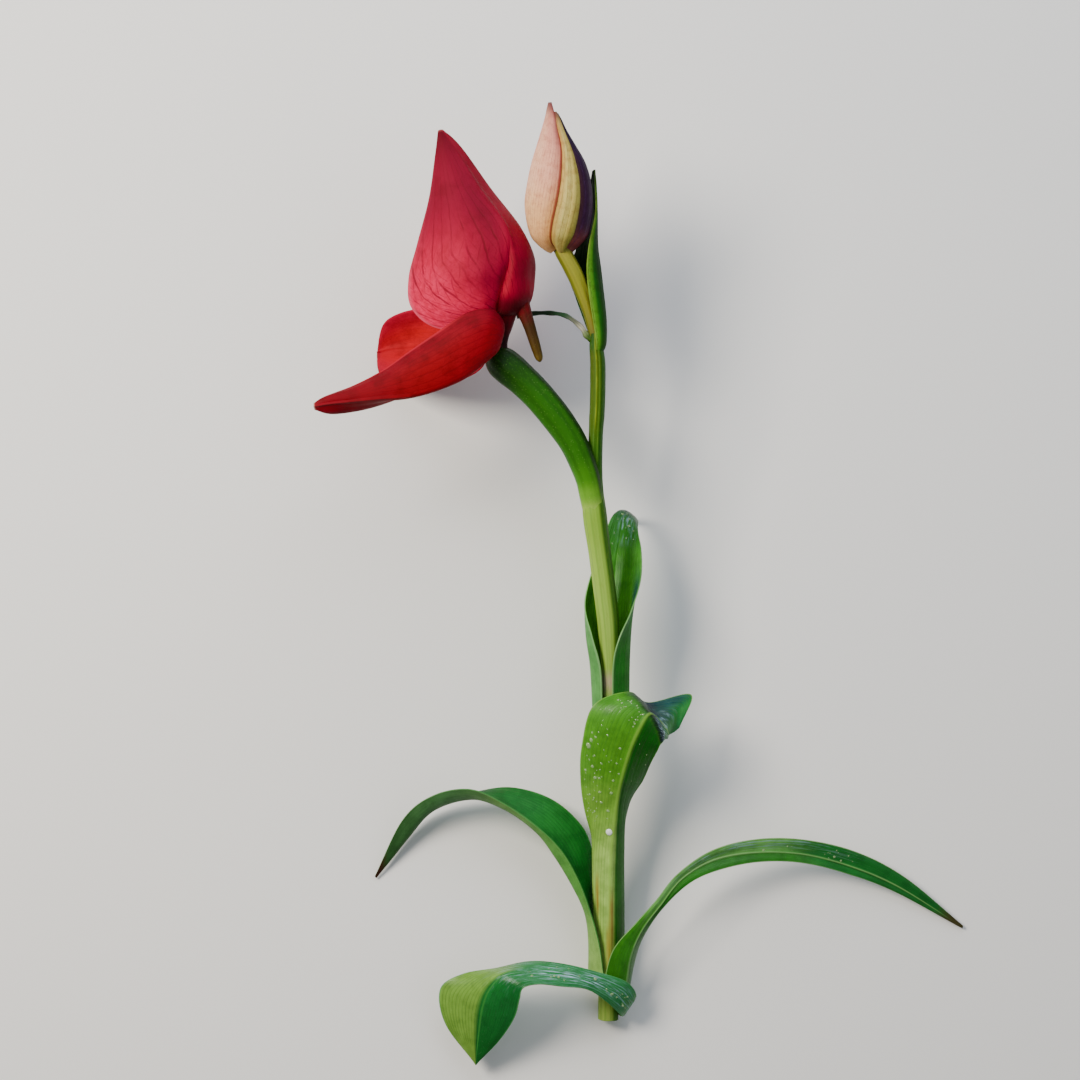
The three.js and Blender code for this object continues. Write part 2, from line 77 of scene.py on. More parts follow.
def place(points):
    """Plant millimetres to row metres."""
    p = np.asarray(points, float)
    x, y, z = p[..., 0], p[..., 1], p[..., 2]
    c, s = math.cos(LEAN), math.sin(LEAN)
    return (np.stack([x, y * c - z * s, y * s + z * c], -1) + PLANT_AT) / MM


def run_out(p):
    """The rows of p with one more at each end, straight on."""
    return np.concatenate([[2 * p[0] - p[1]], p, [2 * p[-1] - p[-2]]])


def smooth(a, b, c, d, f):
    """The smooth curve from b to c at f, led by its neighbours a and d."""
    return 0.5 * (2 * b + (c - a) * f + (2 * a - 5 * b + 4 * c - d) * f**2 + (3 * b - a - 3 * c + d) * f**3)


def steps_of(p, t):
    """For each t from 0 to 1, the first of the four rows of p that lead the curve there, and its place between."""
    span = np.asarray(t, float) * (len(p) - 3)
    i = np.clip(np.floor(span).astype(int), 0, len(p) - 4)
    return i, (span - i)[:, None]


def along(points, t):
    """A smooth line through its points, at each t from 0 to 1."""
    p = run_out(np.asarray(points, float))
    i, f = steps_of(p, t)
    return smooth(p[i], p[i + 1], p[i + 2], p[i + 3], f)


def spanned(rails):
    """The surface spanned by lines that run side by side from base to tip."""
    def surface(u, v):
        p = run_out(np.stack([along(rail, u) for rail in rails]))
        i, f = steps_of(p, v)
        k = np.arange(len(u))
        return smooth(p[i, k], p[i + 1, k], p[i + 2, k], p[i + 3, k], f)
    return surface


def normals(surface, u, v):
    """Unit normals of a surface, on the side that its grid's faces look to."""
    pu = surface(np.minimum(u + STEP, 1), v) - surface(np.maximum(u - STEP, 0), v)
    pv = surface(u, np.minimum(v + STEP, 1)) - surface(u, np.maximum(v - STEP, 0))
    n = np.cross(pu, pv)
    return n / np.maximum(np.linalg.norm(n, axis=1), 1e-9)[:, None]


def swell(surface, height):
    """The surface pushed along its normals by height(u, v), in millimetres."""
    return lambda u, v: surface(u, v) + normals(surface, u, v) * height(u, v)[:, None]


def bell(x, middle, width):
    """1 in the middle, falling off smoothly on both sides."""
    return np.exp(-((x - middle) / width) ** 2)


def ease(x, low, high):
    """0 at low and 1 at high, eased between them and held beyond."""
    t = np.clip((x - low) / (high - low), 0, 1)
    return t * t * (3 - 2 * t)


def ripple(u, v, scale_u, scale_v, seed):
    """A smooth wandering value between -1 and 1."""
    a, b, c = seed * 1.7, seed * 2.9, seed * 0.6
    u, v = u * scale_u, v * scale_v
    return (np.sin(u + a + 1.3 * np.sin(v + b)) + np.sin(v * 1.6 + c + u * 0.7)
            + 0.6 * np.sin(u * 2.3 - v * 1.1 + b)) / 2.6


def thinned(edge, rim):
    """The share of a sheet's thickness where edge runs from 0 on its rim to 1."""
    return rim + (1 - rim) * ease(edge, 0, 1)


def shaped_grid(name, count, points_at):
    """A grid primitive of count faces whose vertices are moved to points_at(u, v), its UV map running base to tip."""
    bpy.ops.mesh.primitive_grid_add(x_subdivisions=count[0], y_subdivisions=count[1], size=1, calc_uvs=True)
    obj = bpy.context.object
    obj.name = name
    flat = np.array([v.co[:2] for v in obj.data.vertices]) + 0.5
    u, v = (np.round(flat[:, k] * count[k]) / count[k] for k in (0, 1))
    moved = place(points_at(u, v))
    bpy.ops.object.mode_set(mode="EDIT")
    mesh = bmesh.from_edit_mesh(obj.data)
    for vertex, point in zip(mesh.verts, moved):
        vertex.co = Vector(point)
    bmesh.update_edit_mesh(obj.data)
    bpy.ops.object.mode_set(mode="OBJECT")
    return obj, u, v


def done(obj, node):
    """Shades a piece, and puts it in the place of a node of the solids if one is named."""
    bpy.ops.object.shade_smooth_by_angle(angle=math.radians(50))
    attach(obj, "root")
    if node:
        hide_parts(node)
    obj.select_set(False)


def blade(node, surface, count, thick, materials, rim=RIM_THIN, foot=0.0):
    """A leaf, sepal or petal: an even sheet that thins to its rim, and over foot of its length at the base.

    materials are for its grid's side and its back.
    """
    obj, u, v = shaped_grid(node + "_fine", count, surface)
    edge = np.minimum(np.minimum(v, 1 - v) / RIM_WIDTH, (1 - u) / TIP_LENGTH)
    if foot:
        edge = np.minimum(edge, u / foot)
    group = obj.vertex_groups.new(name="thick")
    for i, weight in enumerate(thinned(edge, rim)):
        group.add([i], float(weight), "REPLACE")
    for m in materials:
        obj.data.materials.append(m)
    body = obj.modifiers.new("body", "SOLIDIFY")
    body.thickness = thick / MM
    body.offset = 0
    body.vertex_group = "thick"
    body.material_offset = len(materials) - 1
    body.use_quality_normals = True
    bpy.ops.object.modifier_apply(modifier="body")
    done(obj, node)


def tube(node, line, count, material, profile=None, name=None):
    """A round piece along a line of [x, y, z, radius], closed to a pole at both ends.

    profile(t, turn) scales its radius. A piece with a name of its own is added beside the node's.
    """
    rows = (ROUND_END + [(t, 1) for t in np.linspace(0, 1, count[0])[1:-1]]
            + [(1 - t, r) for t, r in reversed(ROUND_END)])
    at, full = np.array(rows, float).T

    def points_at(u, v):
        k = np.round(u * (len(rows) - 1)).astype(int)
        t = at[k]
        p = along(line, t)
        way = along(line, np.minimum(t + STEP, 1))[:, :3] - along(line, np.maximum(t - STEP, 0))[:, :3]
        way /= np.linalg.norm(way, axis=1)[:, None]
        side = np.cross([0, 0, 1], way)
        side /= np.linalg.norm(side, axis=1)[:, None]
        up = np.cross(way, side)
        turn = 2 * math.pi * (v % 1)
        r = p[:, 3] * full[k]
        if profile:
            r = r * profile(t, turn)
        return p[:, :3] + side * (r * np.cos(turn))[:, None] + up * (r * np.sin(turn))[:, None]

    obj, _, _ = shaped_grid(name or node + "_fine", (len(rows) - 1, count[1]), points_at)
    bpy.ops.object.mode_set(mode="EDIT")
    bpy.ops.mesh.select_all(action="SELECT")
    bpy.ops.mesh.remove_doubles(threshold=MERGE_WITHIN)
    bpy.ops.mesh.normals_make_consistent(inside=False)
    bpy.ops.object.mode_set(mode="OBJECT")
    obj.data.materials.append(material)
    done(obj, None if name else node)


# Materials

# How far red, green and blue light goes under the surface, before its scale
GREEN_GLOW = (0.001, 0.002, 0.001)
RED_GLOW = (0.002, 0.0005, 0.0005)
BUD_GLOW = (0.002, 0.001, 0.0005)
GLOW_SCALE = 0.3
BUMP_DEPTH = 0.0002
LEAF_VEINS = 26


def rgb(text):
    """A display colour written as hex, in the linear values that shaders take."""
    c = [int(text[i:i + 2], 16) / 255 for i in (1, 3, 5)]
    return [x / 12.92 if x <= 0.04045 else ((x + 0.055) / 1.055) ** 2.4 for x in c] + [1]


def even(colour):
    """The stops of a ramp of one colour."""
    return {0: colour, 1: colour}


class Paint:
    """A material built up from the piece's UV map and its object coordinates."""

    def __init__(self, name, rough, specular=0.5, glow=0, reach=GREEN_GLOW, alpha=1):
        """glow is the share of light that goes under the surface, and reach how far its three colours go."""
        self.material = bpy.data.materials.new(name)
        self.material.use_nodes = True
        self.tree = self.material.node_tree
        self.shader = self.tree.nodes["Principled BSDF"]
        for socket, value in (("Roughness", rough), ("Specular IOR Level", specular), ("Subsurface Weight", glow),
                              ("Subsurface Radius", reach), ("Subsurface Scale", GLOW_SCALE), ("Alpha", alpha)):
            self.shader.inputs[socket].default_value = value
        split = self.node("SeparateXYZ", {0: self.node("UVMap").outputs[0]})
        self.u, self.v = split.outputs[0], split.outputs[1]
        self.spot = self.node("TexCoord").outputs["Object"]

    def node(self, kind, inputs=None, **settings):
        """A new node with its settings, and its inputs fed by their names or numbers."""
        n = self.tree.nodes.new("ShaderNode" + kind)
        for key, value in settings.items():
            setattr(n, key, value)
        for key, value in (inputs or {}).items():
            self.feed(n.inputs[key], value)
        return n

    def feed(self, socket, value):
        """Links a socket to another one, or sets it to a number or a hex colour."""
        if isinstance(value, bpy.types.NodeSocket):
            self.tree.links.new(value, socket)
        else:
            socket.default_value = rgb(value) if isinstance(value, str) else value

    def math(self, kind, *values):
        return self.node("Math", dict(enumerate(values)), operation=kind).outputs[0]

    def times(self, value, *others):
        for other in others:
            value = self.math("MULTIPLY", value, other)
        return value

    def plus(self, a, b):
        return self.math("ADD", a, b)

    def minus(self, a, b):
        return self.math("SUBTRACT", a, b)

    def scaled(self, value, scale, start):
        """value times scale, added to start."""
        return self.math("MULTIPLY_ADD", value, scale, start)

    def off(self, value, middle):
        """How far value lies from middle, on either side."""
        return self.math("ABSOLUTE", self.minus(value, middle))

    def across(self):
        """0 on the middle line and 1 on both rims."""
        return self.times(self.off(self.v, 0.5), 2)

    def point(self, x, y):
        return self.node("CombineXYZ", {0: x, 1: y}).outputs[0]

    def stretched(self, su, sv):
        """The UV map, scaled along and across."""
        return self.point(self.times(self.u, su), self.times(self.v, sv))

    def noise(self, vector, scale, detail, rough=0.5):
        return self.node("TexNoise", {"Vector": vector, "Scale": scale, "Detail": detail,
                                      "Roughness": rough}).outputs[0]

    def cells(self, vector, scale):
        """How far a place is from the middle of its cell."""
        return self.node("TexVoronoi", {"Vector": vector, "Scale": scale}, feature="F1").outputs["Distance"]

    def band(self, value, low, high, a=0, b=1):
        """value mapped from low..high to a..b, eased and held at the ends."""
        return self.node("MapRange", {"Value": value, "From Min": low, "From Max": high, "To Min": a, "To Max": b},
                         interpolation_type="SMOOTHSTEP").outputs[0]

    def around(self, u, reach_u, v, reach_v):
        """1 at a place on the surface, fading out at its reach along and across."""
        return self.times(self.band(self.off(self.u, u), reach_u, 0), self.band(self.off(self.v, v), reach_v, 0))

    def lines(self, value, count, wander, width):
        """Lines at even steps of value, 1 on each line, drawn aside by wander."""
        wave = self.math("SINE", self.times(self.scaled(value, count, wander), 2 * math.pi))
        return self.band(wave, 1 - 2 * width, 1)

    def net(self, across, along_scale, across_scale, drift):
        """Slanting cross veins in two families, each broken up where its noise is low."""
        first, second = (self.scaled(across, across_scale, self.scaled(self.u, slant, drift))
                         for slant in (along_scale, -along_scale))
        gaps = self.noise(self.point(self.times(self.u, 16), self.times(across, 22)), 1, 2)
        return self.math("MAXIMUM", self.times(self.lines(first, 1, 0, 0.12), self.band(gaps, 0.42, 0.58)),
                         self.times(self.lines(second, 1, 0.3, 0.12), self.band(gaps, 0.58, 0.42)))

    def ramp(self, value, stops):
        """The colour at value among stops, which run from 0 to 1."""
        n = self.node("ValToRGB", {0: value})
        n.color_ramp.interpolation = "EASE"
        elements = n.color_ramp.elements
        elements[0].color, elements[1].color = rgb(stops[0]), rgb(stops[1])
        for at, colour in stops.items():
            if 0 < at < 1:
                elements.new(at).color = rgb(colour)
        return n.outputs[0]

    def mix(self, amount, a, b, blend="MIX"):
        return self.node("Mix", {0: amount, 6: a, 7: b}, data_type="RGBA", blend_type=blend).outputs[2]

    def darkened(self, amount, colour, by):
        """colour, multiplied by another one as far as amount."""
        return self.mix(amount, colour, self.mix(1, colour, by, "MULTIPLY"))

    def finish(self, colour, height=None, strength=0.3):
        self.feed(self.shader.inputs["Base Color"], colour)
        if height is not None:
            bump = self.node("Bump", {"Strength": strength, "Distance": BUMP_DEPTH, "Height": height})
            self.feed(self.shader.inputs["Normal"], bump.outputs[0])
        return self.material


def leaf_paint(name, stops, midrib, vein, rim, gloss, shade=None, patch=None, dry=None, scars=(), painted_wet_sheen=None,
               painted_navy_reflection=None):
    """A leaf's face.

    shade is painted shade, a darker colour right of the midrib, patch a light one on the far half with its start
    and end along u, and dry that of a withered tip. scars are brown streaks, each with its middle and half its
    length along u, and its v. painted_wet_sheen is where the leaf is wet and glossier, with painted pale streaks of
    sheen that stand for reflections: their middle and reach along u, the same along v, and their strength.
    painted_navy_reflection is the place of a painted deep blue reflection, in the same order.
    """
    p = Paint(name, gloss, 0.2 if painted_wet_sheen else 0.12, 0.04, GREEN_GLOW)
    out = p.across()
    wander = p.noise(p.stretched(5, 3), 1, 2)
    drift = p.minus(wander, 0.5)
    colour = p.ramp(p.scaled(drift, 0.12, p.u), stops)
    if patch:
        tint, start, end = patch
        reach = p.scaled(drift, 0.2, p.u)
        reach = p.times(p.band(reach, start, start + 0.11), p.band(reach, end, end - 0.11))
        colour = p.mix(p.times(p.band(p.v, 0.48, 0.4), reach, 0.9), colour, tint)
    # Painted shade on the half right of the midrib, which is turned from the light
    if shade:
        edge = p.band(p.v, p.band(p.u, 0.2, 0.35, 0.54, 0.5), p.band(p.u, 0.2, 0.35, 0.59, 0.56))
        edge = p.times(edge, p.band(p.u, 0.74, 0.66, 0, 0.97))
        colour = p.mix(edge, colour, shade)
    cloud = p.noise(p.spot, 260, 4, 0.6)
    colour = p.darkened(p.band(cloud, 0.35, 0.7, 0, 0.5), colour, "#a0b0a0")
    strands = p.times(p.lines(p.v, LEAF_VEINS, p.times(wander, 0.3), 0.35), p.band(out, 0.02, 0.12))
    colour = p.mix(p.times(strands, p.scaled(edge, -0.25, 0.3) if shade else 0.28), colour, vein)
    fine = p.noise(p.stretched(14, 130), 1, 3, 0.7)
    colour = p.darkened(p.band(fine, 0.4, 0.75, 0, 0.4), colour, "#809070")
    colour = p.mix(p.band(out, 0.045, 0.01, 0, 0.55), colour, midrib)
    colour = p.mix(p.band(out, 0.96, 0.99, 0, 0.55), colour, rim)
    colour = p.mix(p.band(p.cells(p.spot, 1500), 0.14, 0.05, 0, 0.12), colour, "#a8c4b0")
    for middle, half, across in scars:
        line = p.band(p.off(p.v, p.scaled(drift, 0.05, across)), 0.045, 0)
        reach = p.times(p.band(p.off(p.u, middle), half, half * 0.2), p.band(fine, 0.35, 0.6, 0.35, 0.8))
        colour = p.mix(p.times(line, reach), colour, "#945410")
    # A painted deep blue reflection
    if painted_navy_reflection:
        colour = p.mix(p.times(p.around(*painted_navy_reflection), 0.85), colour, "#08203c")
    rough = p.band(fine, 0.3, 0.7, gloss - 0.08, gloss + 0.12)
    # Painted pale streaks of sheen, reflections on the wet parts, which are also made glossier
    if painted_wet_sheen:
        near = p.around(*painted_wet_sheen[:4])
        painted_sheen_streaks = p.band(p.noise(p.stretched(15, 22), 1, 4, 0.65), 0.48, 0.66)
        colour = p.mix(p.times(near, painted_sheen_streaks, painted_wet_sheen[4]), colour, "#a0c4d0")
        rough = p.minus(rough, p.times(near, 0.15))
    if dry:
        colour = p.mix(p.band(p.scaled(drift, 0.03, p.u), 0.955, 0.985, 0, 0.9), colour, dry)
    p.feed(p.shader.inputs["Roughness"], rough)
    return p.finish(colour, p.plus(p.times(strands, -0.6), p.times(fine, 0.6)), 0.2)


def hood_paint(name, inner=False):
    """The hood's outside, veined, with painted light on its lower near side, painted shade where it curves and in the
    pouch up to the fold, and darker at its back; or its dotted inside.
    """
    p = Paint(name, 0.6, 0.1, 0.05, RED_GLOW)
    out = p.across()
    drift = p.times(p.minus(p.noise(p.stretched(5, 11), 1, 3), 0.5), 1.2)
    if inner:
        colour = p.ramp(p.u, {0: "#c8843c", 0.25: "#b8402c", 0.7: "#98101c", 1: "#780418"})
        dots = p.band(p.cells(p.stretched(18, 30), 1), 0.28, 0.18)
        colour = p.mix(p.times(dots, p.band(p.u, 0.7, 0.3)), colour, "#780410")
    else:
        colour = p.ramp(p.u, {0: "#90000e", 0.25: "#c40032", 0.5: "#b00032", 0.75: "#800026",
                              1: "#5c0014"})
        # Painted light on the lower near side, where the light falls
        painted_light_patch = p.times(p.band(out, 0.4, 0.95), p.band(p.u, 0.72, 0.2))
        fleck = p.band(p.noise(p.stretched(40, 70), 1, 4, 0.7), 0.42, 0.62, 0.55, 1)
        colour = p.mix(p.times(painted_light_patch, fleck), colour, "#f0285c")
        # Painted shade where the hood curves
        painted_curve_shade = p.times(p.band(p.off(out, 0.56), 0.16, 0), p.band(p.u, 0.2, 0.4), p.band(p.u, 0.95, 0.65))
        colour = p.mix(p.times(painted_curve_shade, 0.6), colour, "#60001c")
        back = p.times(p.band(out, 0.5, 0.3), p.band(p.u, 0.24, 0.4))
        colour = p.mix(p.times(back, 0.8), colour, "#880022")
        # Painted shade in the pouch behind the fold
        pouch = p.times(p.band(out, 0.48, 0.4), p.band(p.u, 0.36, 0.2))
        colour = p.mix(p.times(pouch, 0.85), colour, "#38000a")
    fan = p.minus(out, p.times(p.u, p.minus(2, p.u), 0.55))
    broken = p.band(p.noise(p.stretched(16, 18), 1, 2), 0.36, 0.52, 0.3, 1)
    net = p.times(p.net(fan, 14, 26, drift), p.band(p.u, 0.8, 0.35, 0.25, 1), 0.6)
    veins = p.math("MAXIMUM", p.times(p.lines(fan, 15, drift, 0.1), broken), net)
    strong = p.times(p.band(p.noise(p.stretched(3, 7), 1, 2), 0.3, 0.65, 0.3, 0.75),
                     p.band(p.u, 0.95, 0.45, 0.35, 1), p.band(out, 0.2, 0.45, 0.3, 1))
    colour = p.mix(p.times(veins, strong), colour, "#880c18" if inner else "#5c000e")
    cloud = p.noise(p.spot, 150, 4, 0.6)
    colour = p.darkened(p.band(cloud, 0.4, 0.75, 0, 0.45), colour, "#b87078")
    rim = p.times(p.band(out, 0.972, 0.995, 0, 0.7), p.band(p.u, 0.7, 0.3, 0.15, 1))
    colour = p.mix(rim, colour, "#d8506a")
    colour = p.mix(p.band(p.u, 0.985, 0.999, 0, 0.6), colour, "#a85050")
    return p.finish(colour, p.plus(p.times(veins, -0.45), p.times(p.noise(p.spot, 2600, 2), 0.45)), 0.4)


def sepal_paint(name, stops, edge, vein, rim, rim_from):
    """A side sepal's face. edge is painted shade that colours it towards both rims, where the sheet turns from the
    light; rim is a light line along its upper one.
    """
    p = Paint(name, 0.6, 0.1, 0.05, RED_GLOW)
    drift = p.minus(p.noise(p.stretched(4, 6), 1, 3), 0.5)
    # Painted shade towards both rims
    colour = p.mix(p.band(p.across(), 0.3, 1, 0, 0.75), p.ramp(p.u, stops), edge)
    veins = p.math("MAXIMUM", p.times(p.lines(p.v, 18, drift, 0.12), 0.6),
                   p.times(p.net(p.v, 18, 26, drift), 0.4))
    colour = p.mix(p.times(veins, 0.42), colour, vein)
    cloud = p.noise(p.spot, 220, 4, 0.6)
    colour = p.darkened(p.band(cloud, 0.4, 0.75, 0, 0.5), colour, "#a06868")
    light = p.times(p.band(p.v, 0.035, 0.01), p.band(p.u, rim_from, rim_from + 0.15), 0.8)
    colour = p.mix(light, colour, rim)
    colour = p.mix(p.band(p.u, 0.98, 1, 0, 0.8), colour, "#c08878")
    return p.finish(colour, p.plus(p.times(veins, -0.35), p.times(p.noise(p.spot, 2600, 2), 0.5)), 0.35)


def bud_paint(name, across, along_stops, streak, tip, streaks=9, share=0.5, seam=None):
    """A streaked piece, coloured by stops across it and, by a share, along it. seam is a line on its first rim."""
    p = Paint(name, 0.6, 0.1, 0.06, BUD_GLOW)
    colour = p.mix(share, p.ramp(p.v, across), p.ramp(p.u, along_stops))
    cloud = p.noise(p.spot, 500, 4, 0.65)
    colour = p.darkened(p.band(cloud, 0.42, 0.72, 0, 0.45), colour, "#c09088")
    drift = p.times(p.minus(p.noise(p.stretched(5, 5), 1, 3), 0.5), 0.7)
    strands = p.lines(p.v, streaks, drift, 0.22)
    broken = p.band(p.noise(p.stretched(30, 60), 1, 3, 0.7), 0.42, 0.6)
    colour = p.mix(p.times(strands, broken, 0.6), colour, streak)
    colour = p.mix(p.band(p.noise(p.spot, 1900, 2), 0.62, 0.72, 0, 0.4), colour, streak)
    colour = p.mix(p.band(p.u, 0.86, 1, 0, 0.85), colour, tip)
    if seam:
        colour = p.mix(p.band(p.v, 0.05, 0.015, 0, 0.85), colour, seam)
    return p.finish(colour, p.plus(p.times(strands, -0.7), p.noise(p.spot, 2400, 2)), 0.35)


def stem_paint(name, stops, stripe, streak, stripes=11, painted_shade=None, dark_from=0.28, pale=None, ridge=None, calm=0,
               speckle=0.12):
    """A round piece. painted_shade paints shade on its right side, pale a band round it, ridge the light line along
    its upper part.

    Up to calm its stripes and its painted shade are still faint.
    """
    p = Paint(name, 0.5, 0.12, 0.06, GREEN_GLOW)
    colour = p.ramp(p.u, stops)
    wander = p.noise(p.stretched(8, 2), 1, 2)
    # Painted shade on the right side, away from the light
    if painted_shade:
        side = p.times(p.band(p.v, dark_from, dark_from + 0.07), p.band(p.v, 0.72, 0.6),
                       p.band(p.u, calm * 0.3, calm + 0.01, 0.4, 0.9))
        colour = p.mix(side, colour, painted_shade)
    if ridge:
        line = p.band(p.off(p.v, 0.22), 0.025, 0)
        broken = p.band(p.noise(p.stretched(34, 3), 1, 2), 0.3, 0.6, 0.35, 1)
        colour = p.mix(p.times(line, broken, p.band(p.u, 0.75, 0.8, 0, 0.8)), colour, ridge)
    if pale:
        at, width, tint = pale
        colour = p.mix(p.band(p.off(p.u, at), width, 0, 0, 0.8), colour, tint)
    strands = p.times(p.lines(p.v, stripes, p.times(wander, 0.25), 0.4),
                      p.band(p.u, calm * 0.5, calm * 1.6 + 0.01, 0.1, 1))
    colour = p.mix(p.times(strands, 0.35), colour, stripe)
    fine = p.noise(p.stretched(60, 40), 1, 4, 0.7)
    colour = p.mix(p.band(fine, 0.5, 0.75, 0, 0.4), colour, streak)
    colour = p.mix(p.band(p.cells(p.spot, 1300), 0.2, 0.06, 0, speckle), colour, "#90b464")
    return p.finish(colour, p.plus(p.times(strands, -0.6), p.times(fine, 0.6)), 0.35)


# Where the faces below are given them, leaf_paint paints shade right of the midrib, pale streaks of sheen on wet
# parts and a deep blue reflection
cup_face = leaf_paint(
    "leaf_cup_face", {0: "#58981c", 0.3: "#4c9c14", 0.55: "#44981c", 0.7: "#348024", 0.82: "#1c5c30",
                      1: "#184c2c"},
    midrib="#68ac48", vein="#286c10", rim="#68a450", gloss=0.26, painted_wet_sheen=(0.72, 0.1, 0.6, 0.4, 0.7),
    painted_navy_reflection=(0.44, 0.16, 0.93, 0.2))
arch_face = leaf_paint(
    "leaf_arch_face", {0: "#2c7008", 0.16: "#348410", 0.3: "#5ca83c", 0.48: "#74ac60", 0.62: "#4c9440",
                       0.76: "#1c7028", 1: "#10581c"},
    midrib="#84b868", vein="#2c7418", rim="#88b868", gloss=0.28, dry="#3c3014", painted_wet_sheen=(0.56, 0.3, 0.14, 0.3, 0.8),
    patch=("#78c05c", 0.22, 0.74), shade="#247014")
upper_face = leaf_paint(
    "leaf_upper_face", {0: "#2c7420", 0.3: "#1c7024", 0.5: "#24782c", 0.7: "#185c24", 1: "#0f5020"},
    midrib="#3c8c38", vein="#0a400c", rim="#4c9040", gloss=0.34)
under_face = leaf_paint(
    "leaf_under_face", {0: "#90b85c", 0.3: "#589840", 0.6: "#64904c", 0.75: "#487844", 1: "#284c24"},
    midrib="#84b05c", vein="#2c6420", rim="#7cac64", gloss=0.44, dry="#34100c")
sheath_face = leaf_paint(
    "leaf_sheath_face", {0: "#5ca050", 0.4: "#54984c", 0.7: "#3c8030", 1: "#285c24"},
    midrib="#5ca454", vein="#4c8c44", rim="#8cbc74", gloss=0.42, shade="#207418")
# Its stops from 0.73 to 0.85 are painted shade and a painted dark blue reflection in the fold where its wing turns
# over
front_face = leaf_paint(
    "leaf_front_face", {0: "#98bc50", 0.18: "#a4cc60", 0.3: "#78ac38", 0.45: "#54981c", 0.67: "#448c1c",
                        0.73: "#08300c", 0.79: "#041c38", 0.85: "#0c4848", 0.93: "#288434", 1: "#207038"},
    midrib="#88b844", vein="#34701c", rim="#7cb048", gloss=0.36, shade="#0e6402", painted_wet_sheen=(0.86, 0.12, 0.68, 0.5, 1.5),
    scars=((0.14, 0.05, 0.34), (0.1, 0.07, 0.53), (0.04, 0.07, 0.49)))
low_face = leaf_paint(
    "leaf_low_face", {0: "#3c7c1c", 0.25: "#2c8444", 0.5: "#2c8448", 0.7: "#1c702c", 1: "#14581c"},
    midrib="#3c8c38", vein="#125018", rim="#5ca45c", gloss=0.26, patch=("#7ca840", 0.55, 1.5),
    painted_wet_sheen=(0.4, 0.36, 0.5, 0.6, 1))
hood_outer = hood_paint("hood_outer")
hood_inner = hood_paint("hood_inner", inner=True)
sepal_outer = sepal_paint(
    "sepal_outer", {0: "#94001c", 0.25: "#940014", 0.5: "#90000e", 0.7: "#800010", 1: "#7c0416"},
    edge="#760018", vein="#4c0008", rim="#b8142c", rim_from=0.3)
sepal_inner = sepal_paint(
    "sepal_inner", {0: "#bc0810", 0.4: "#b80012", 0.8: "#ac0018", 1: "#980028"},
    edge="#a80030", vein="#880010", rim="#c41040", rim_from=0)
# The bract's stops across it paint light along its first rim and shade over the rest of it
bract_face = bud_paint(
    "bract_face", {0: "#94c040", 0.09: "#549418", 0.17: "#185808", 0.3: "#0c3404", 1: "#0c3804"},
    {0: "#3c600a", 0.1: "#306008", 0.3: "#185008", 0.6: "#103c08", 1: "#0a2c04"},
    streak="#0c3404", tip="#0c2408", streaks=6, share=0.35)
bud_left = bud_paint(
    "bud_left", {0: "#842810", 0.05: "#b05040", 0.18: "#dc9478", 0.45: "#f4c49c", 0.75: "#e8988c",
                 1: "#b05c5c"},
    {0: "#d0b454", 0.22: "#f8cc74", 0.5: "#f0b494", 0.8: "#d48c80", 1: "#a8605c"},
    streak="#a85850", tip="#602c34", streaks=22, seam="#7c2014")
bud_right = bud_paint(
    "bud_right", {0: "#5c4c14", 0.16: "#948c34", 0.45: "#c8b460", 0.7: "#d4c070", 0.92: "#b88c4c",
                  1: "#843c20"},
    {0: "#949030", 0.4: "#d0bc64", 0.8: "#bc9c54", 1: "#b07850"},
    streak="#7c6820", tip="#602c34", streaks=5, share=0.35)
bud_back = bud_paint(
    "bud_back", {0: "#28081c", 0.8: "#14042c", 0.93: "#2c1430", 1: "#744838"},
    {0: "#c07068", 0.09: "#a04c48", 0.28: "#340c30", 1: "#1c0830"},
    streak="#4c2c50", tip="#180410", streaks=12, share=0.7)
bud_inside = bud_paint("bud_inside", even("#90482c"), {0: "#90502c", 1: "#8c4830"}, "#6c2c18", "#602818")
gold = bud_paint("petal_gold", even("#c88c2c"), {0: "#d09c34", 1: "#b87828"}, "#7c1014", "#a84820", 5)
column_rose = bud_paint("column_rose", even("#94283c"), {0: "#a84038", 1: "#c88c3c"}, "#681020", "#c8b05c", 5)
# The stem's stops darken from 0.65 to 0.72, painted shade just above where the ovary leaves it
stem_green = stem_paint(
    "stem_green", {0: "#88a444", 0.3: "#94b44c", 0.5: "#90b444", 0.59: "#82aa36", 0.65: "#4c8018",
                   0.72: "#2c5c08", 0.78: "#405c04", 0.9: "#405400", 0.94: "#1c4c04", 1: "#184404"},
    stripe="#507c20", streak="#748028", painted_shade="#124c00", pale=(0.335, 0.022, "#c0a890"), ridge="#8c9c20")
ovary_green = stem_paint(
    "ovary_green", {0: "#98bc4c", 0.11: "#94b848", 0.19: "#649c24", 0.28: "#3a7a0a", 0.38: "#246200",
                    0.55: "#205c00", 0.72: "#123c00", 0.86: "#142c00", 1: "#282014"},
    stripe="#144000", streak="#3c7c14", stripes=7, painted_shade="#082400", dark_from=0.34, calm=0.26, speckle=0.3)
bud_stalk = stem_paint(
    "bud_stalk", {0: "#a8a040", 0.5: "#8c8c28", 1: "#5c541c"},
    stripe="#70742c", streak="#70502c", stripes=7, painted_shade="#5c6418", dark_from=0.33)
twig = stem_paint(
    "twig", {0: "#2c4c08", 0.14: "#34540c", 0.24: "#687848", 0.33: "#a09c88", 0.42: "#585c4c",
             0.52: "#24482c", 1: "#203c2c"},
    stripe="#101c10", streak="#3c3c30", stripes=4)
spur_paint = stem_paint(
    "spur", {0: "#800010", 0.36: "#6c0410", 0.5: "#50140e", 0.64: "#3c2408", 0.85: "#4c380c",
             0.95: "#6c5820", 1: "#8c7848"},
    stripe="#2c1404", streak="#64502c", stripes=5)
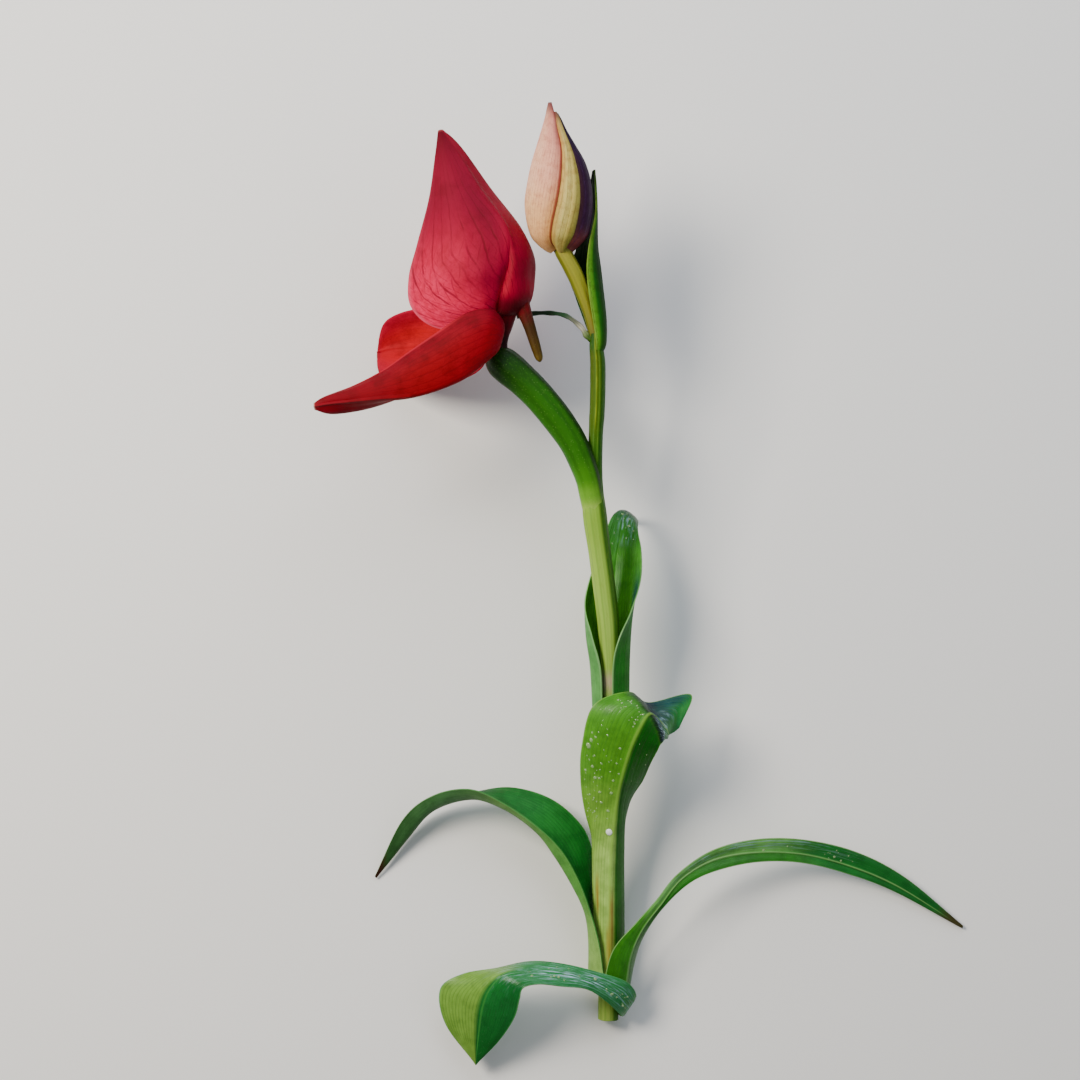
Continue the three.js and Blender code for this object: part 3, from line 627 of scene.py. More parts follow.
# The claw darkens from the hood's red to a dark brown, partly its own colour and partly painted shade under the bloom
claw_paint = stem_paint(
    "claw", {0: "#800014", 0.3: "#5c0010", 0.6: "#2c080c", 0.8: "#201008", 1: "#202008"},
    stripe="#240806", streak="#50181c", stripes=5)
# The drops' pale colour, half see-through, is painted light: it stands in for the glints and reflections on clear
# water
water = Paint("water_drop", 0.08, specular=1, alpha=0.42).finish("#bcdc9c")
milk = Paint("white_drop", 0.3).finish("#e8ece4")


# Lines of every piece, as in the solids' source. The scene's own are the points that run a piece further into what
# carries it, BRACT_FEET and those named FOOT or TOP, and the dip beside the tip in the wing of LEAF_FRONT.

STEM = [
    [2.3, -8.5, 0, 2.7], [2.4, 5, 0, 2.65], [2.5, 20, 0, 2.65], [2.6, 36, 0, 2.75], [2.9, 56, 0, 2.9],
    [3.0, 75, 0, 2.5], [2.9, 87, 0, 2.6], [2.3, 98.6, 0, 2.95], [1.2, 108.3, 0, 3.05], [0, 117.5, 0, 3.05],
    [-1.4, 128, 0, 3.25], [-1.7, 134, -0.4, 2.7], [-1.4, 141, -0.6, 2.05], [-1.1, 150, -0.3, 1.95],
    [-0.7, 158, 0, 2.05], [-0.6, 168, 0, 2.05], [-1, 173, 0, 1.85], [-1.1, 176.8, 0, 1.65],
]
OVARY = [
    [-1.2, 125.5, 0, 2.5], [-1.7, 129.4, 0, 3], [-2.4, 133.4, 0.4, 3.2], [-3.3, 137.6, 0.8, 3.3],
    [-4.9, 142.1, 1, 3.55], [-7.4, 147.6, 0.9, 3.85], [-11.6, 153.8, 0.4, 4.2], [-16.5, 159.8, 0, 4.3],
    [-20.9, 164.2, -0.3, 4.4], [-24.4, 167.2, -0.6, 4.6], [-27, 169.4, -0.8, 4.3], [-28.8, 170.9, -1, 3.1],
    [-29.8, 171.8, -1.1, 1.2],
]
COLUMN = [
    [-29.9, 173.7, -1.1, 1.8], [-29.7, 175.6, -1.2, 2.1], [-30.5, 179, -1.5, 2.4], [-32, 183, -1.9, 2],
    [-33, 185.6, -2.2, 1],
]
SPUR = [
    [-22.6, 187.6, 0.9, 3.2], [-21.7, 185, 1.2, 2.8], [-20.7, 182.9, 1.5, 2.2], [-19.8, 180.8, 1.7, 1.8],
    [-18.7, 177.6, 1.9, 1.55], [-17.3, 173, 2.1, 1.35], [-16.1, 169, 2.2, 1],
]
CLAW = [
    [-24.4, 184, 1, 2.4], [-24.9, 181.2, 0.6, 2.1], [-25.4, 178.6, 0.2, 1.75], [-25.9, 176.3, -0.1, 1.4],
    [-26.2, 174.1, -0.3, 1.25],
]
CLAW_FOOT = [[-26.5, 172.4, -0.6, 1.7], [-27.2, 170.8, -0.8, 2.2]]
TWIG_FOOT = [[-2.2, 175.3, 0.3, 0.85]]
SIDE_BRACT = [
    [-3.5, 176.1, 0.3, 0.7], [-5.2, 178.6, -0.6, 0.55], [-9, 181.6, -3.4, 0.5], [-13.4, 182.6, -7, 0.5],
    [-18.5, 182.6, -10.4, 0.5], [-22.5, 181.8, -11.8, 0.45],
]
HOOD_RIM = [
    [-28.2, 180.4, 1.6], [-37, 177.5, 7.4], [-45.5, 178.8, 10.2], [-50.8, 184, 11.4], [-51.3, 191.5, 11],
    [-49, 200.5, 9.4], [-46, 213, 6.2], [-44.5, 224.9, 2.6], [-43.9, 232, 0.5],
]
HOOD_WALL = [
    [-27.8, 180.8, 1.2], [-32.6, 180.4, 7.2], [-38, 182.8, 11], [-41, 187.8, 12.4], [-41, 194.5, 12.4],
    [-39.5, 203, 11], [-40, 214, 7.4], [-42, 225.4, 3.2], [-43.6, 232.2, 0.4],
]
HOOD_CREASE = [
    [-27.4, 181.1, 0.9], [-28.4, 182.5, 5.4], [-28.2, 185.5, 8], [-27.4, 190, 9], [-26.3, 196, 9],
    [-26.9, 204.3, 7.9], [-33.4, 214.8, 5.6], [-39.5, 226, 2.4], [-43.2, 232.3, 0.3],
]
HOOD_POUCH = [
    [-27, 181.3, 0.4], [-25, 182.6, 3.4], [-23.4, 186, 5.2], [-22.4, 191.4, 6], [-22.2, 197.6, 6],
    [-25, 205.6, 5.2], [-32, 215.8, 3.4], [-38.8, 226.8, 1.4], [-42.9, 232.3, 0.15],
]
HOOD_BACK = [
    [-26.7, 181.4, 0], [-22.2, 182.4, 0], [-19.4, 186.4, 0], [-19, 192, 0], [-19, 198, 0],
    [-22.4, 205.8, 0], [-30.3, 216.5, 0], [-37.9, 227.2, 0], [-42.7, 232.3, 0],
]
SEPAL_NEAR = [
    [[-27.6, 177, 1.9], [-25.9, 179.4, 5], [-29.4, 183, 7.6], [-35.9, 181.8, 9.4], [-43.4, 176.8, 10.8],
     [-50.8, 171.6, 12.4], [-57.6, 166.6, 14], [-65.4, 162.4, 15.8], [-73, 159.4, 17.6], [-75.9, 157.6, 18.2]],
    [[-28, 175.6, 2.2], [-26.3, 176.4, 6.4], [-29.8, 177.4, 9.6], [-35.7, 175, 12], [-43, 170.6, 13.6],
     [-50.5, 166.8, 15], [-57.8, 163.4, 16.4], [-65.4, 160.6, 17.6], [-72.7, 158.5, 18.6], [-75.9, 157.2, 18.5]],
    [[-28.4, 174.2, 2.2], [-27.4, 172.6, 6], [-31, 169.2, 9.2], [-36.4, 165, 11.8], [-43.2, 161.8, 13.8],
     [-50.4, 159.8, 15.6], [-58, 159.1, 17.2], [-65.5, 158.3, 18.2], [-72.7, 157.5, 18.8], [-75.9, 156.8, 18.6]],
    [[-28.8, 173.2, 1.9], [-28.6, 172, 3.6], [-32.2, 169.4, 5.6], [-37.6, 165.8, 7.8], [-44.2, 162.4, 10],
     [-51, 159.8, 12.4], [-58, 158.3, 14.6], [-65.4, 156.9, 16.4], [-72.1, 156, 17.8], [-75.8, 156.4, 18.4]],
    [[-29.1, 172.4, 1.5], [-29.4, 172.3, 2.4], [-33.2, 170.2, 3.4], [-38.8, 166.8, 5], [-45.2, 163.4, 7.2],
     [-51.6, 160, 9.8], [-58.2, 157.4, 12.6], [-64.9, 155.7, 15], [-71.4, 154.9, 17], [-75.7, 156, 18.1]],
]
SEPAL_FAR = [
    [[-28.6, 177.2, -4.6], [-31.6, 178.4, -13.2], [-37, 182.8, -20.4], [-44.4, 184.8, -24],
     [-51.6, 184.4, -26.4], [-57, 182.9, -29.2], [-60, 180.8, -31.6], [-61.4, 177, -34.4], [-62, 173.6, -36]],
    [[-29, 176.4, -4.9], [-31.8, 176.2, -13.2], [-36.8, 178.8, -20.8], [-44, 180, -25.4],
     [-50.6, 180, -28.6], [-55.6, 179, -31.4], [-59.2, 177.4, -33.5], [-61.1, 175.2, -35.2], [-62, 173.2, -36.1]],
    [[-29.4, 175.4, -5], [-32, 173.4, -12], [-36.8, 173.8, -19.3], [-43.2, 174.4, -24.7],
     [-49.6, 174.6, -28.8], [-54.8, 174.3, -32.2], [-58.8, 173.8, -34.3], [-61, 173.2, -35.6], [-62.1, 172.8, -36.1]],
    [[-29.6, 174.4, -4.8], [-32, 170.4, -9.8], [-37, 168.8, -15.8], [-43.4, 168, -21.2],
     [-49.8, 168.4, -25.9], [-55.2, 169.4, -30], [-59.2, 170.2, -33.2], [-61.2, 171.2, -35.3], [-62.2, 172.4, -36]],
    [[-29.6, 173.4, -4.4], [-32.4, 167.8, -7.6], [-38, 164.6, -11.8], [-44.4, 163, -16.6],
     [-50.8, 163, -21.8], [-56.2, 164, -26.8], [-60.2, 165.6, -31.2], [-61.8, 168.4, -34.4], [-62.2, 172, -35.8]],
]
PETAL = [
    [[-31.4, 182.5, 2.6], [-33.8, 188, 3.8], [-36, 193.6, 4], [-37.2, 199.2, 2.8]],
    [[-33, 181.6, 3.2], [-36.6, 187, 5.2], [-38.4, 193, 5.2], [-37.6, 199.3, 3.2]],
    [[-34.6, 180.8, 2.6], [-39, 186.4, 3.8], [-40.4, 192.6, 4], [-38, 199.2, 2.8]],
]
LIP = [
    [[-32.5, 174.6, -0.6], [-38.4, 173.6, -2], [-45, 170.6, -4.4], [-50.4, 166.6, -6.8]],
    [[-32.5, 173.9, -1.9], [-38.6, 172.4, -3.8], [-45, 169.4, -6], [-50.5, 166.3, -7.3]],
    [[-32.5, 173.9, -3.2], [-38.4, 172.8, -5.6], [-45, 169.9, -7.4], [-50.4, 166.4, -7.8]],
]
BUD = [
    [199.6, -10.6, 2.2], [201.2, -11, 6], [204.4, -11, 8.2], [211.4, -11.15, 9.2], [217.6, -11, 8.6],
    [222.8, -11.2, 7.3], [227, -11.75, 5.5], [231.5, -12.4, 3.5], [235.7, -12.8, 1.95], [239.6, -13.4, 0.75],
]
BUD_HEART = [
    [-10.8, 200.8, 0, 1.4], [-11, 202.6, 0, 3.6], [-11, 206, 0, 5.2], [-11.15, 211.4, 0, 5.8],
    [-11, 217.6, 0, 5.4], [-11.2, 222.8, 0, 4.6], [-11.75, 227, 0, 3.3], [-12.4, 231.2, 0, 1.9],
    [-12.8, 234, 0, 0.7],
]
BUD_FRONT_SEAM = [[116], [112], [106], [93], [87], [82], [74], [68], [64], [62]]
BUD_RIGHT_SEAM = [[60], [58], [55], [48], [47], [47], [42], [34], [29], [26]]
BUD_BACK_SEAM = 232
STALK_TOP = [[-10.9, 201, 0.4, 2.0]]
STALK_FOOT = [[-1.2, 175.9, 0, 1.5]]
BUD_OVARY = [
    [-10, 198.9, 0.4, 1.7], [-8.7, 196.4, 0.3, 2.1], [-6.6, 192.4, 0, 2.25], [-4.6, 187.5, -0.2, 2.1],
    [-2.9, 182.5, -0.3, 1.8], [-1.7, 177.5, -0.2, 1.55],
]
BUD_BRACT = [
    [[-1.1, 174.6, 2.5], [-1.9, 180, 2.8], [-3, 187, 3], [-3.6, 194, 2.7], [-2.9, 201, 1.9], [-1.2, 210, 0.4],
     [-1.4, 221, -2.5]],
    [[0.8, 174.6, 1.85], [0.7, 180, 1.9], [-0.2, 187, 1.8], [-1.1, 194, 1.3], [-1.5, 201, 0.3], [-0.9, 210, -0.9],
     [-1.4, 221.2, -2.7]],
    [[1.45, 174.6, -0.2], [1.35, 180, -0.4], [0.6, 187, -0.9], [-0.2, 194, -1.5], [-1, 201, -2.2],
     [-1.1, 210, -3], [-1.5, 221.3, -3]],
    [[0.1, 174.6, -2.45], [-0.7, 180, -2.8], [-2.1, 187, -3.5], [-3.4, 193.6, -4.5], [-3, 201, -6.2],
     [-2.2, 210, -6], [-1.7, 221.2, -3.3]],
    [[-2.4, 174.6, -2.5], [-4.2, 180, -3.1], [-6.7, 187, -3.6], [-8.4, 193.3, -4.8], [-6, 201, -8.4],
     [-3.8, 210, -8.2], [-2, 221, -3.6]],
]
BRACT_FEET = [[-1, 171.6, 1.4], [0.2, 171.6, 0.9], [0.6, 171.6, -0.1], [-0.1, 171.6, -1.2], [-1.6, 171.6, -1.2]]
LEAF_UPPER = [
    [[0.6, 72.5, 3.6], [0.1, 86, 3.8], [-2.2, 95, 2.9], [-4.1, 102.7, -0.8], [-2.8, 110, -4.8],
     [0.6, 119, -9.5], [3.2, 126.4, -14], [6, 128.2, -20.6], [8.6, 125.8, -27.62]],
    [[-1.5, 72, -0.6], [-2.2, 86, -0.8], [-3.2, 95, -2], [-2.8, 102.7, -4.6], [-0.4, 110, -7.4],
     [2.3, 118.6, -10.8], [4.8, 126.6, -14.8], [6.9, 128.4, -20.8], [8.8, 125.6, -27.62]],
    [[3.2, 72, -4.1], [3.1, 86, -4.4], [3, 94, -5.2], [3.4, 102, -6.6], [4.2, 110, -8.6], [5.2, 118, -11.4],
     [6.7, 126.2, -15.2], [8.1, 128, -21], [9, 125.4, -27.62]],
    [[7.6, 72, -0.6], [7.7, 86, -0.8], [8, 94.5, -1.6], [8.4, 102, -3.4], [8.8, 110, -6.2], [8.8, 118, -9.6],
     [9.1, 124.8, -14.2], [9.4, 127, -20.8], [9.3, 125.2, -27.62]],
    [[3.4, 72.5, 4], [3.4, 87, 4.1], [5, 94.5, 4.1], [8.4, 102, 2.2], [11, 110, -2], [11.4, 118, -6.5],
     [10.6, 123.4, -12.6], [10.9, 125.8, -20.4], [9.7, 125, -27.62]],
]
LEAF_FRONT = [
    [[0.3, 1, -3.2], [0.3, 19, -3.2], [-0.8, 35, -2.8], [-4.2, 48.6, 1.8], [-5.3, 57.5, 4.6], [-5, 66.4, 8],
     [-1.9, 77.2, 10.2], [7.4, 80.6, 8.4], [13, 77.3, 2.6], [24.6, 79.2, -0.4], [21.2, 70.6, 3.6]],
    [[-1.5, 1, 0.4], [-1.5, 19, 0.4], [-1.6, 35, 0.9], [-1, 48.8, 5], [-0.6, 57.6, 7.8], [0.6, 66.6, 11.2],
     [3.8, 75.6, 13.2], [9.6, 78.6, 11.8], [13.7, 75.8, 5], [20.4, 75.2, 2], [19.8, 69.6, 4.8]],
    [[2.4, 1, 3.9], [2.4, 19, 3.9], [2.7, 35, 4.1], [4, 49, 6.2], [5.4, 57.4, 9], [7.8, 66, 12.2],
     [10.3, 71.8, 14.2], [12.4, 75, 14], [14.4, 74, 11.4], [16.7, 71.4, 8.6], [18.3, 69, 6.4]],
    [[6.2, 1, 0.4], [6.2, 19, 0.4], [6.1, 35, 0.9], [6.2, 49.2, 4.4], [8.4, 57, 7.2], [10.7, 64, 10.4],
     [12.9, 69, 12.6], [14.3, 71.6, 12.8], [15.5, 71.2, 12], [16.7, 69.8, 10.2], [18, 68.5, 7.8]],
    [[4.5, 1, -3.2], [4.5, 19, -3.2], [5.3, 35, -2.6], [7.7, 49.6, 1.6], [11.4, 56.6, 4.4], [13.4, 61.6, 7.8],
     [15, 65, 10.2], [15.8, 66.8, 11], [16.4, 67.6, 10.8], [17, 68.1, 10], [17.7, 68.1, 8.4]],
]
LEAF_LEFT = [
    [[0.2, 4, -5], [-0.3, 14, -5.1], [-0.8, 24, -5.2], [-1.6, 34, -5.6], [-4.5, 42.6, -6.3], [-12.7, 50, -7.3],
     [-23.8, 53.3, -8], [-34, 51.8, -9], [-44, 48.4, -10.2], [-52, 42, -10.6], [-60.7, 28.9, -9.35]],
    [[-2.9, 4, 0.3], [-2.9, 13, 0.4], [-3.9, 20.9, 0.8], [-7.2, 28.4, 0.8], [-11.8, 36, 0.3],
     [-17.2, 43, -0.8], [-25.5, 48.4, -2], [-35, 50.9, -3.8], [-45.4, 47.6, -6], [-52.6, 39.5, -8.2],
     [-61, 28.5, -9.35]],
    [[0.8, 5, 5.5], [-0.4, 13, 5.3], [-2.8, 21.6, 4.4], [-6, 30, 3.7], [-10.5, 37.6, 3], [-17.1, 44.1, 2.2],
     [-25.6, 49.9, 1.2], [-35, 53.6, 0.2], [-45.2, 51.6, -2.6], [-53.6, 44.6, -6.2], [-61.3, 28.9, -9.25]],
]
LEAF_RIGHT = [
    [[0.7, 1.8, 5.8], [3.4, 11.4, 6.7], [9.6, 18.6, 6], [14.9, 24.4, 5.4], [20.8, 31.4, 4.2], [30.2, 37.5, 2],
     [42.1, 40.1, -0.5], [55.6, 39.6, -3], [69.9, 36, -5.2], [83.4, 28.8, -6.7], [99, 15.8, -6.8]],
    [[6.3, -0.2, 4.3], [7.8, 9.6, 5], [10.9, 16.7, 4.7], [15.9, 23.2, 4.2], [22, 30.1, 2.8], [31, 34.8, 0.4],
     [42.4, 36.4, -2.2], [55.2, 35.6, -4.6], [68.2, 32.1, -6.2], [81.4, 26.4, -7.1], [98.9, 15.4, -6.8]],
    [[7.8, -1, -1], [9.5, 8.2, 0.8], [11.9, 14.9, 2.6], [16.9, 22.3, 3.6], [24.1, 28.8, 3.2], [32.4, 32.2, 1.6],
     [43.1, 34, -0.8], [54.8, 33.4, -3.2], [67.2, 30.2, -5.1], [80.4, 25, -6.6], [98.8, 15, -6.8]],
]
LEAF_LOW = [
    [[4.8, -3.6, -2.55], [6.5, -3.8, 0.2], [9.6, -1.4, 3.8], [7, 2.9, 6.8], [0, 5.6, 8.4], [-10, 8, 8.6],
     [-19, 8.4, 7.4], [-28, 6.4, 6], [-37, 4.6, 4.6], [-43, 0.4, 3.6], [-41.6, -9, 3.4], [-33.6, -19.6, 3.8]],
    [[4.8, -5.6, -2.5], [6.2, -5.8, 0.1], [7.6, -4, 4], [4.4, 0.2, 7.6], [-2, 3.6, 9.8], [-10.5, 5.6, 11.2],
     [-18.6, 6.4, 12], [-25.6, 5.4, 12], [-29.6, 1.6, 10.8], [-31.6, -4, 8.6], [-32.6, -11.6, 6],
     [-33.4, -20, 3.9]],
    [[4.7, -7.4, -2.5], [6, -7.6, -0.1], [5.4, -6.4, 4.2], [1.6, -2.2, 8.1], [-3.6, 1.6, 11], [-10.6, 2.8, 13],
     [-16.6, 3.6, 14.4], [-20.6, 2.6, 14.6], [-21.6, -0.6, 13.4], [-23, -6, 10.6], [-27, -12.6, 7.4],
     [-33.2, -19.6, 4.1]],
]


def on_bloom(rail, side=1):
    """Points of the bloom given by where they show, x and y, and by how far they lie to its near side."""
    x, y, out = np.asarray(rail, float).T
    c, s = math.cos(BLOOM_TURN), math.sin(BLOOM_TURN)
    ahead = (BLOOM_AXIS_X - x - s * out) / c
    return np.stack([BLOOM_AXIS_X - c * ahead - s * out * side, y, -s * ahead + c * out * side], -1)


# The bloom. What its reliefs add is in millimetres

FOLD_DEPTH = 1.5
FLANK_SWELL = 0.6
POUCH_SWELL = 0.7
BELLY_SWELL = 0.3
PUCKER_DEPTH = 0.06
RIM_ROLL = 0.5
HOOD_WAVE = 0.25
SEPAL_WAVE = 0.3
NEAR_GROOVE = 0.35
FAR_GROOVE = 0.3
CALM_TIP = 0.15


def hood_relief(u, v):
    """Pushes inward where above 0: the fold before the pouch, and outward on both sides of it."""
    out = np.abs(v - 0.5) * 2
    lower = ease(u, 0.05, 0.18) * ease(u, 0.62, 0.42)
    fold = FOLD_DEPTH * bell(out, 0.48 - 0.1 * u, 0.055) * lower
    flank = FLANK_SWELL * bell(out, 0.6, 0.08) * lower
    pouch = POUCH_SWELL * bell(out, 0.22, 0.16) * lower
    belly = BELLY_SWELL * bell(out, 0.75, 0.16) * bell(u, 0.45, 0.2)
    puckers = PUCKER_DEPTH * np.sin(out * 82 + 1.2 * np.sin(u * 7)) * bell(u, 0.4, 0.3) * ease(out, 0.3, 0.5)
    lip = RIM_ROLL * ease(out, 0.93, 1.0) * bell(u, 0.45, 0.3)
    wander = HOOD_WAVE * ripple(u, out, 9, 7, 2) * ease(1 - u, 0, 0.2)
    return fold - flank - pouch - belly + puckers - lip + wander


def near_relief(u, v):
    """The groove of the near sepal's outer half, and its waves."""
    return (NEAR_GROOVE * bell(v, 0.5, 0.025) * ease(u, 0.35, 0.6)
            + SEPAL_WAVE * ripple(u, v, 8, 5, 4) * ease(v, 0, 0.2) * ease(1 - u, 0, CALM_TIP))


def far_relief(u, v):
    """The groove of the far sepal, and its waves."""
    return FAR_GROOVE * bell(v, 0.5, 0.03) + SEPAL_WAVE * ripple(u, v, 7, 5, 5) * ease(1 - u, 0, CALM_TIP)


def spur_end(t, turn):
    """Rounds off the last 0.07 of the spur."""
    return np.sqrt(np.clip(1 - (np.maximum(t - 0.93, 0) / 0.07) ** 2, 0.04, 1))


def column_waist(t, turn):
    return 1 + 0.12 * np.cos(2 * turn) * ease(t, 0.2, 0.6)


hood_rails = [on_bloom(rail) for rail in (HOOD_RIM, HOOD_WALL, HOOD_CREASE, HOOD_POUCH, HOOD_BACK)]
hood_rails += [on_bloom(rail, -1) for rail in (HOOD_POUCH, HOOD_CREASE, HOOD_WALL, HOOD_RIM)]
blade("hood", swell(spanned(hood_rails), hood_relief), (110, 150), SEPAL_THICK, [hood_inner, hood_outer])
tube("hood", SPUR, (60, 28), spur_paint, spur_end, name="spur_fine")
tube("hood", CLAW + CLAW_FOOT, (30, 24), claw_paint, name="claw_fine")
blade("sepal_near", swell(spanned(SEPAL_NEAR), near_relief), (100, 50), SEPAL_THICK, [sepal_outer, sepal_inner])
blade("sepal_far", swell(spanned(SEPAL_FAR), far_relief), (80, 50), SEPAL_THICK, [sepal_inner, sepal_outer])
for side, word in ((1, "near"), (-1, "far")):
    blade("petal_" + word, spanned([on_bloom(rail, side) for rail in PETAL]), (30, 14), PETAL_THICK, [gold])
blade("lip", spanned(LIP), (30, 12), PETAL_THICK, [sepal_inner])
tube("column", COLUMN, (24, 28), column_rose, column_waist)


# The bud

SEAM_DEPTH = 0.55
LOBE_DROP = 1.1
SHELL_FROM = 0.02
BRACT_KEEL = 0.25


def bud_shell(start, end, top, puff):
    """A closed sepal between two seams, given as angles along the bud, up to top. puff raises its ribs."""
    def surface(s, v):
        u = SHELL_FROM + (top - SHELL_FROM) * s
        y, x, r = along(BUD, u).T
        pad = np.degrees(BUD_SEAM / np.maximum(r, 1)) / 2
        turn = np.radians((start(u) + pad) * (1 - v) + (end(u) - pad) * v)
        seam = SEAM_DEPTH * (bell(v, 0, 0.09) + bell(v, 1, 0.09)) * ease(r, 0.8, 4)
        ribs = puff * np.cos(v * math.pi * 6) * bell(s, 0.4, 0.35)
        depth = r - BUD_SEPAL_THICK / 2 - seam + ribs
        lobe = LOBE_DROP * np.sin(math.pi * v) * ease(s, 0.12, 0)
        return np.stack([x + depth * np.cos(turn), y - lobe + 0 * turn, depth * np.sin(turn)], -1)
    return surface


def seam_at(line):
    """A seam whose angle follows a line of values."""
    return lambda u: along(line, np.clip(u, 0, 1))[:, 0]


def level(degrees):
    """A seam that keeps its angle."""
    return lambda u: np.full_like(u, degrees)


def stalk_ribs(t, turn):
    return 1 + 0.05 * np.cos(6 * turn + 5 * t) + 0.3 * bell(t, 0.14, 0.1)


def twig_knots(t, turn):
    return (1 + 0.25 * np.cos(2 * turn)) * (1 + 0.12 * np.sin(t * 40))


front_seam, right_seam = seam_at(BUD_FRONT_SEAM), seam_at(BUD_RIGHT_SEAM)
for name, shell, across, face, slot in (
        ("sepal_left", bud_shell(front_seam, level(BUD_BACK_SEAM), 0.985, 0.05), 44, bud_left, "bud_cream"),
        ("sepal_right", bud_shell(right_seam, front_seam, 0.91, 0.08), 24, bud_right, "bud_cream"),
        ("hood", bud_shell(level(BUD_BACK_SEAM - 360), right_seam, 0.9, 0.05), 60, bud_back, "bud_purple")):
    blade("bud_" + name, shell, (70, across), BUD_SEPAL_THICK, [face, bud_inside], BUD_RIM_THIN)
tube("bud_heart", BUD_HEART, (30, 36), bud_inside)
tube("bud_ovary", STALK_TOP + BUD_OVARY + STALK_FOOT, (44, 36), bud_stalk, stalk_ribs)
bract_rails = [[foot] + rail for foot, rail in zip(BRACT_FEET, BUD_BRACT)]
blade("bud_bract", swell(spanned(bract_rails), lambda u, v: -BRACT_KEEL * bell(v, 0.5, 0.05) * ease(u, 0.15, 0.4)),
      (100, 36), BRACT_THICK, [bract_face, bract_face], foot=0.06)
tube("side_bract", TWIG_FOOT + SIDE_BRACT, (56, 14), twig, twig_knots)


# Stem, ovary and leaves

LEAF_FURROW = 0.02


def stem_ridges(t, turn):
    """Ribs round the stem, and the ring under its thinner upper part."""
    return (1 + 0.035 * np.cos(5 * turn + 2.2 * t) + 0.02 * np.cos(11 * turn - 3 * t)
            + 0.03 * bell(t, 0.795, 0.01) - 0.02 * bell(t, 0.76, 0.012))


def ovary_ribs(t, turn):
    return 1 + 0.03 * np.cos(6 * turn + 6 * t) * ease(t, 0.2, 0.5) + 0.012 * np.cos(13 * turn)


def leaf_surface(rails, keel, wave, seed):
    """A leaf's surface with its keel, its fine furrows and its waves."""
    return swell(spanned(rails), lambda u, v: (
        keel * bell(v, 0.5, 0.03) * ease(1 - u, 0, 0.2)
        + LEAF_FURROW * np.sin(v * 2 * math.pi * 13) * ease(1 - u, 0, CALM_TIP)
        + wave * ripple(u, v, 10, 4, seed) * ease(u, 0.3, 0.5) * ease(1 - u, 0, CALM_TIP)))


tube("stem", STEM, (220, 48), stem_green, stem_ridges)
tube("ovary", OVARY, (90, 48), ovary_green, ovary_ribs)
leaf_front = leaf_surface(LEAF_FRONT, -0.3, 0.2, 1)
leaf_upper = leaf_surface(LEAF_UPPER, 0.25, 0.2, 2)
leaf_left = leaf_surface(LEAF_LEFT, 0.2, 0.2, 3)
leaf_right = leaf_surface(LEAF_RIGHT, -0.25, 0.15, 4)
leaf_low = leaf_surface(LEAF_LOW, -0.2, 0.15, 5)
for name, surface, count, faces in (("front", leaf_front, (150, 56), [upper_face, front_face]),
                                    ("upper", leaf_upper, (110, 56), [sheath_face, cup_face]),
                                    ("left", leaf_left, (140, 40), [upper_face, under_face]),
                                    ("right", leaf_right, (140, 40), [under_face, arch_face]),
                                    ("low", leaf_low, (150, 40), [low_face, under_face])):
    blade("leaf_" + name, surface, count, LEAF_THICK, faces)


# Water drops

DROP_SEGMENTS = 14
DROP_RINGS = 10
DROP_HEIGHT = 0.42
DROP_LIFT = 0.05


def dew(name, surface, side, spots, material):
    """Drops on a leaf, each given by its u, v and radius, on the side its grid looks to where side is 1."""
    u, v, size = (np.array(values) for values in zip(*spots))
    out = normals(surface, u, v) * side
    thick = LEAF_THICK / 2 * thinned(np.minimum(v, 1 - v) / RIM_WIDTH, RIM_THIN)
    seat = surface(u, v) + out * (thick + DROP_LIFT * size)[:, None]
    at = place(seat)
    ahead = place(seat + out) - at
    bpy.ops.mesh.primitive_uv_sphere_add(segments=DROP_SEGMENTS, ring_count=DROP_RINGS, radius=0.001)
    obj = bpy.context.object
    obj.name = name
    bpy.ops.object.mode_set(mode="EDIT")
    bpy.ops.mesh.select_all(action="SELECT")
    bpy.ops.mesh.delete(type="VERT")
    for spot, way, r in zip(at, ahead, size):
        bpy.ops.mesh.primitive_uv_sphere_add(segments=DROP_SEGMENTS, ring_count=DROP_RINGS, radius=r / MM,
                                             location=spot,
                                             rotation=Vector(way).to_track_quat("Z", "Y").to_euler(),
                                             scale=(1, rng.uniform(0.75, 1), DROP_HEIGHT))
    bpy.ops.object.mode_set(mode="OBJECT")
    obj.data.materials.append(material)
    done(obj, None)


def scatter(count, low, high, across, sizes):
    """count drops between two values of u and of v, small ones more often."""
    return [(rng.uniform(low, high), rng.uniform(*across), sizes[0] + (sizes[1] - sizes[0]) * rng.random() ** 3)
            for _ in range(count)]


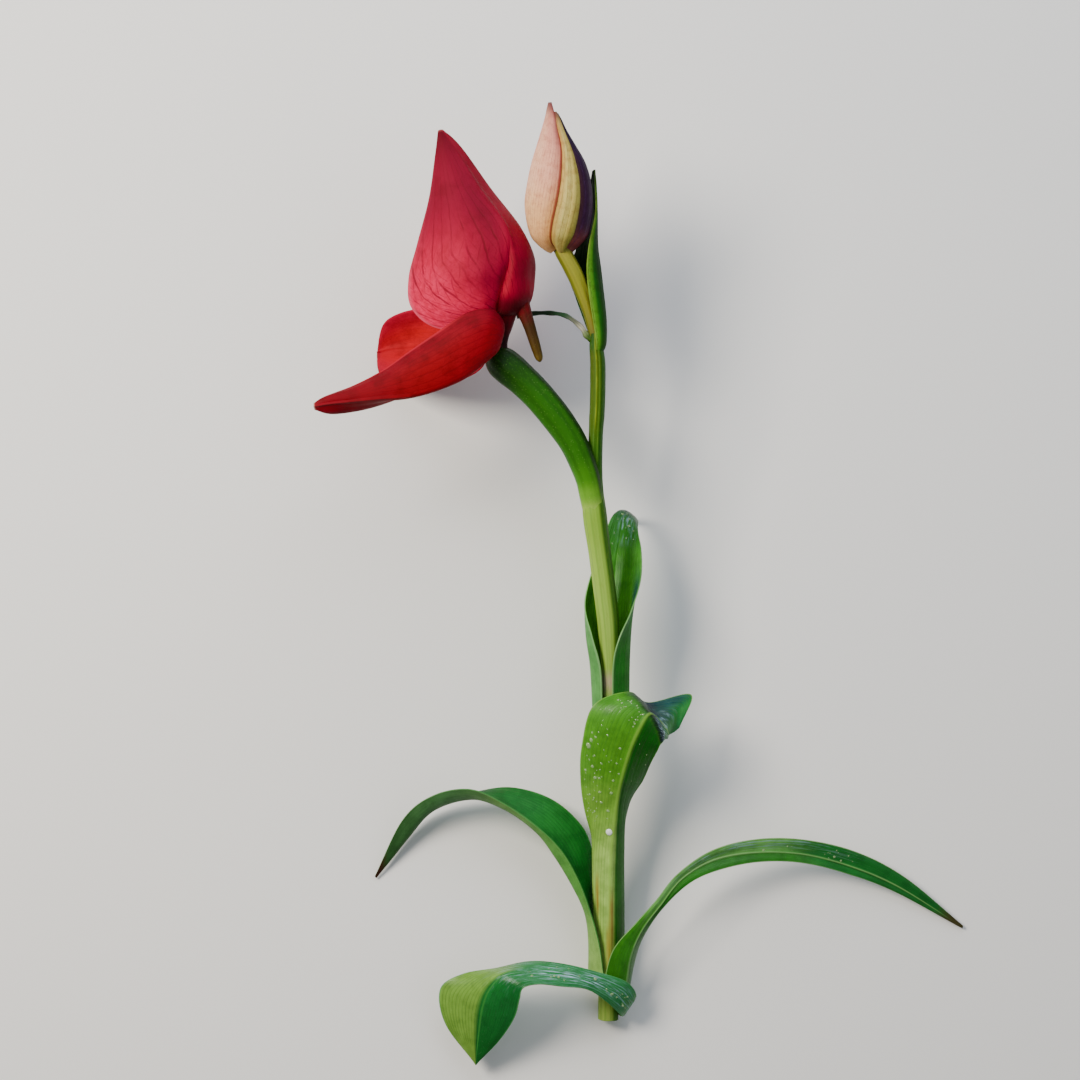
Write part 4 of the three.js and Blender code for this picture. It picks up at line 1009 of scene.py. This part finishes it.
front_drops = (scatter(60, 0.27, 0.5, (0.06, 0.46), (0.18, 0.5)) + scatter(38, 0.5, 0.68, (0.1, 0.46), (0.18, 0.4))
               + scatter(9, 0.36, 0.6, (0.6, 0.9), (0.13, 0.22)) + [(0.5, 0.09, 0.9), (0.515, 0.11, 0.6)])
dew("drops_leaf_front", leaf_front, -1, front_drops, water)
dew("drops_leaf_low", leaf_low, 1, scatter(26, 0.2, 0.62, (0.2, 0.8), (0.2, 0.5)), water)
dew("drops_leaf_right", leaf_right, -1, scatter(30, 0.3, 0.8, (0.08, 0.45), (0.15, 0.45)), water)
dew("drops_leaf_upper", leaf_upper, -1, scatter(14, 0.62, 0.82, (0.3, 0.85), (0.2, 0.5)), water)
dew("white_drop", leaf_front, -1, [(0.253, 0.45, 0.95)], milk)


# Stage, light and camera

FLOOR_SIZE = 4
FLOOR_AT = -0.0004
VIEW_CENTRE = [-16.2, 145.8]
VIEW_DISTANCE = 810
LENS = 100
SENSOR = 36
SHIFT_UP = -0.085

bpy.ops.mesh.primitive_plane_add(size=FLOOR_SIZE, location=(0, 0, FLOOR_AT))
floor = bpy.context.object
floor.name = "floor"
floor.data.materials.append(Paint("floor", 0.8).finish("#f0efeb"))


def area_light(name, spot, aim, size, power, colour):
    """A square light at spot that looks at aim, both in plant millimetres."""
    bpy.ops.object.light_add(type="AREA", location=place(spot))
    light = bpy.context.object
    light.name = name
    light.data.size = size
    light.data.energy = power
    light.data.color = rgb(colour)[:3]
    way = Vector(place(aim)) - Vector(place(spot))
    light.rotation_euler = way.to_track_quat("-Z", "Y").to_euler()


area_light("key", [-460, 400, 480], [-10, 130, 0], size=0.3, power=7, colour="#fff6ea")
area_light("fill", [520, 60, 480], [-10, 120, 0], size=0.7, power=0.9, colour="#eef4ff")
area_light("head", [60, 620, 260], [-10, 150, 0], size=0.5, power=2.2, colour="#e6f0ff")

world = bpy.data.worlds.new("world")
bpy.context.scene.world = world
world.use_nodes = True
world.node_tree.nodes["Background"].inputs["Color"].default_value = rgb("#dfe4ea")
world.node_tree.nodes["Background"].inputs["Strength"].default_value = 0.25

bpy.ops.object.camera_add(location=place(VIEW_CENTRE + [VIEW_DISTANCE]), rotation=(LEAN, 0, 0))
camera = bpy.context.object
camera.data.lens = LENS
camera.data.sensor_width = SENSOR
camera.data.clip_start = 0.01
camera.data.shift_y = SHIFT_UP
camera.data.dof.use_dof = False
bpy.context.scene.camera = camera
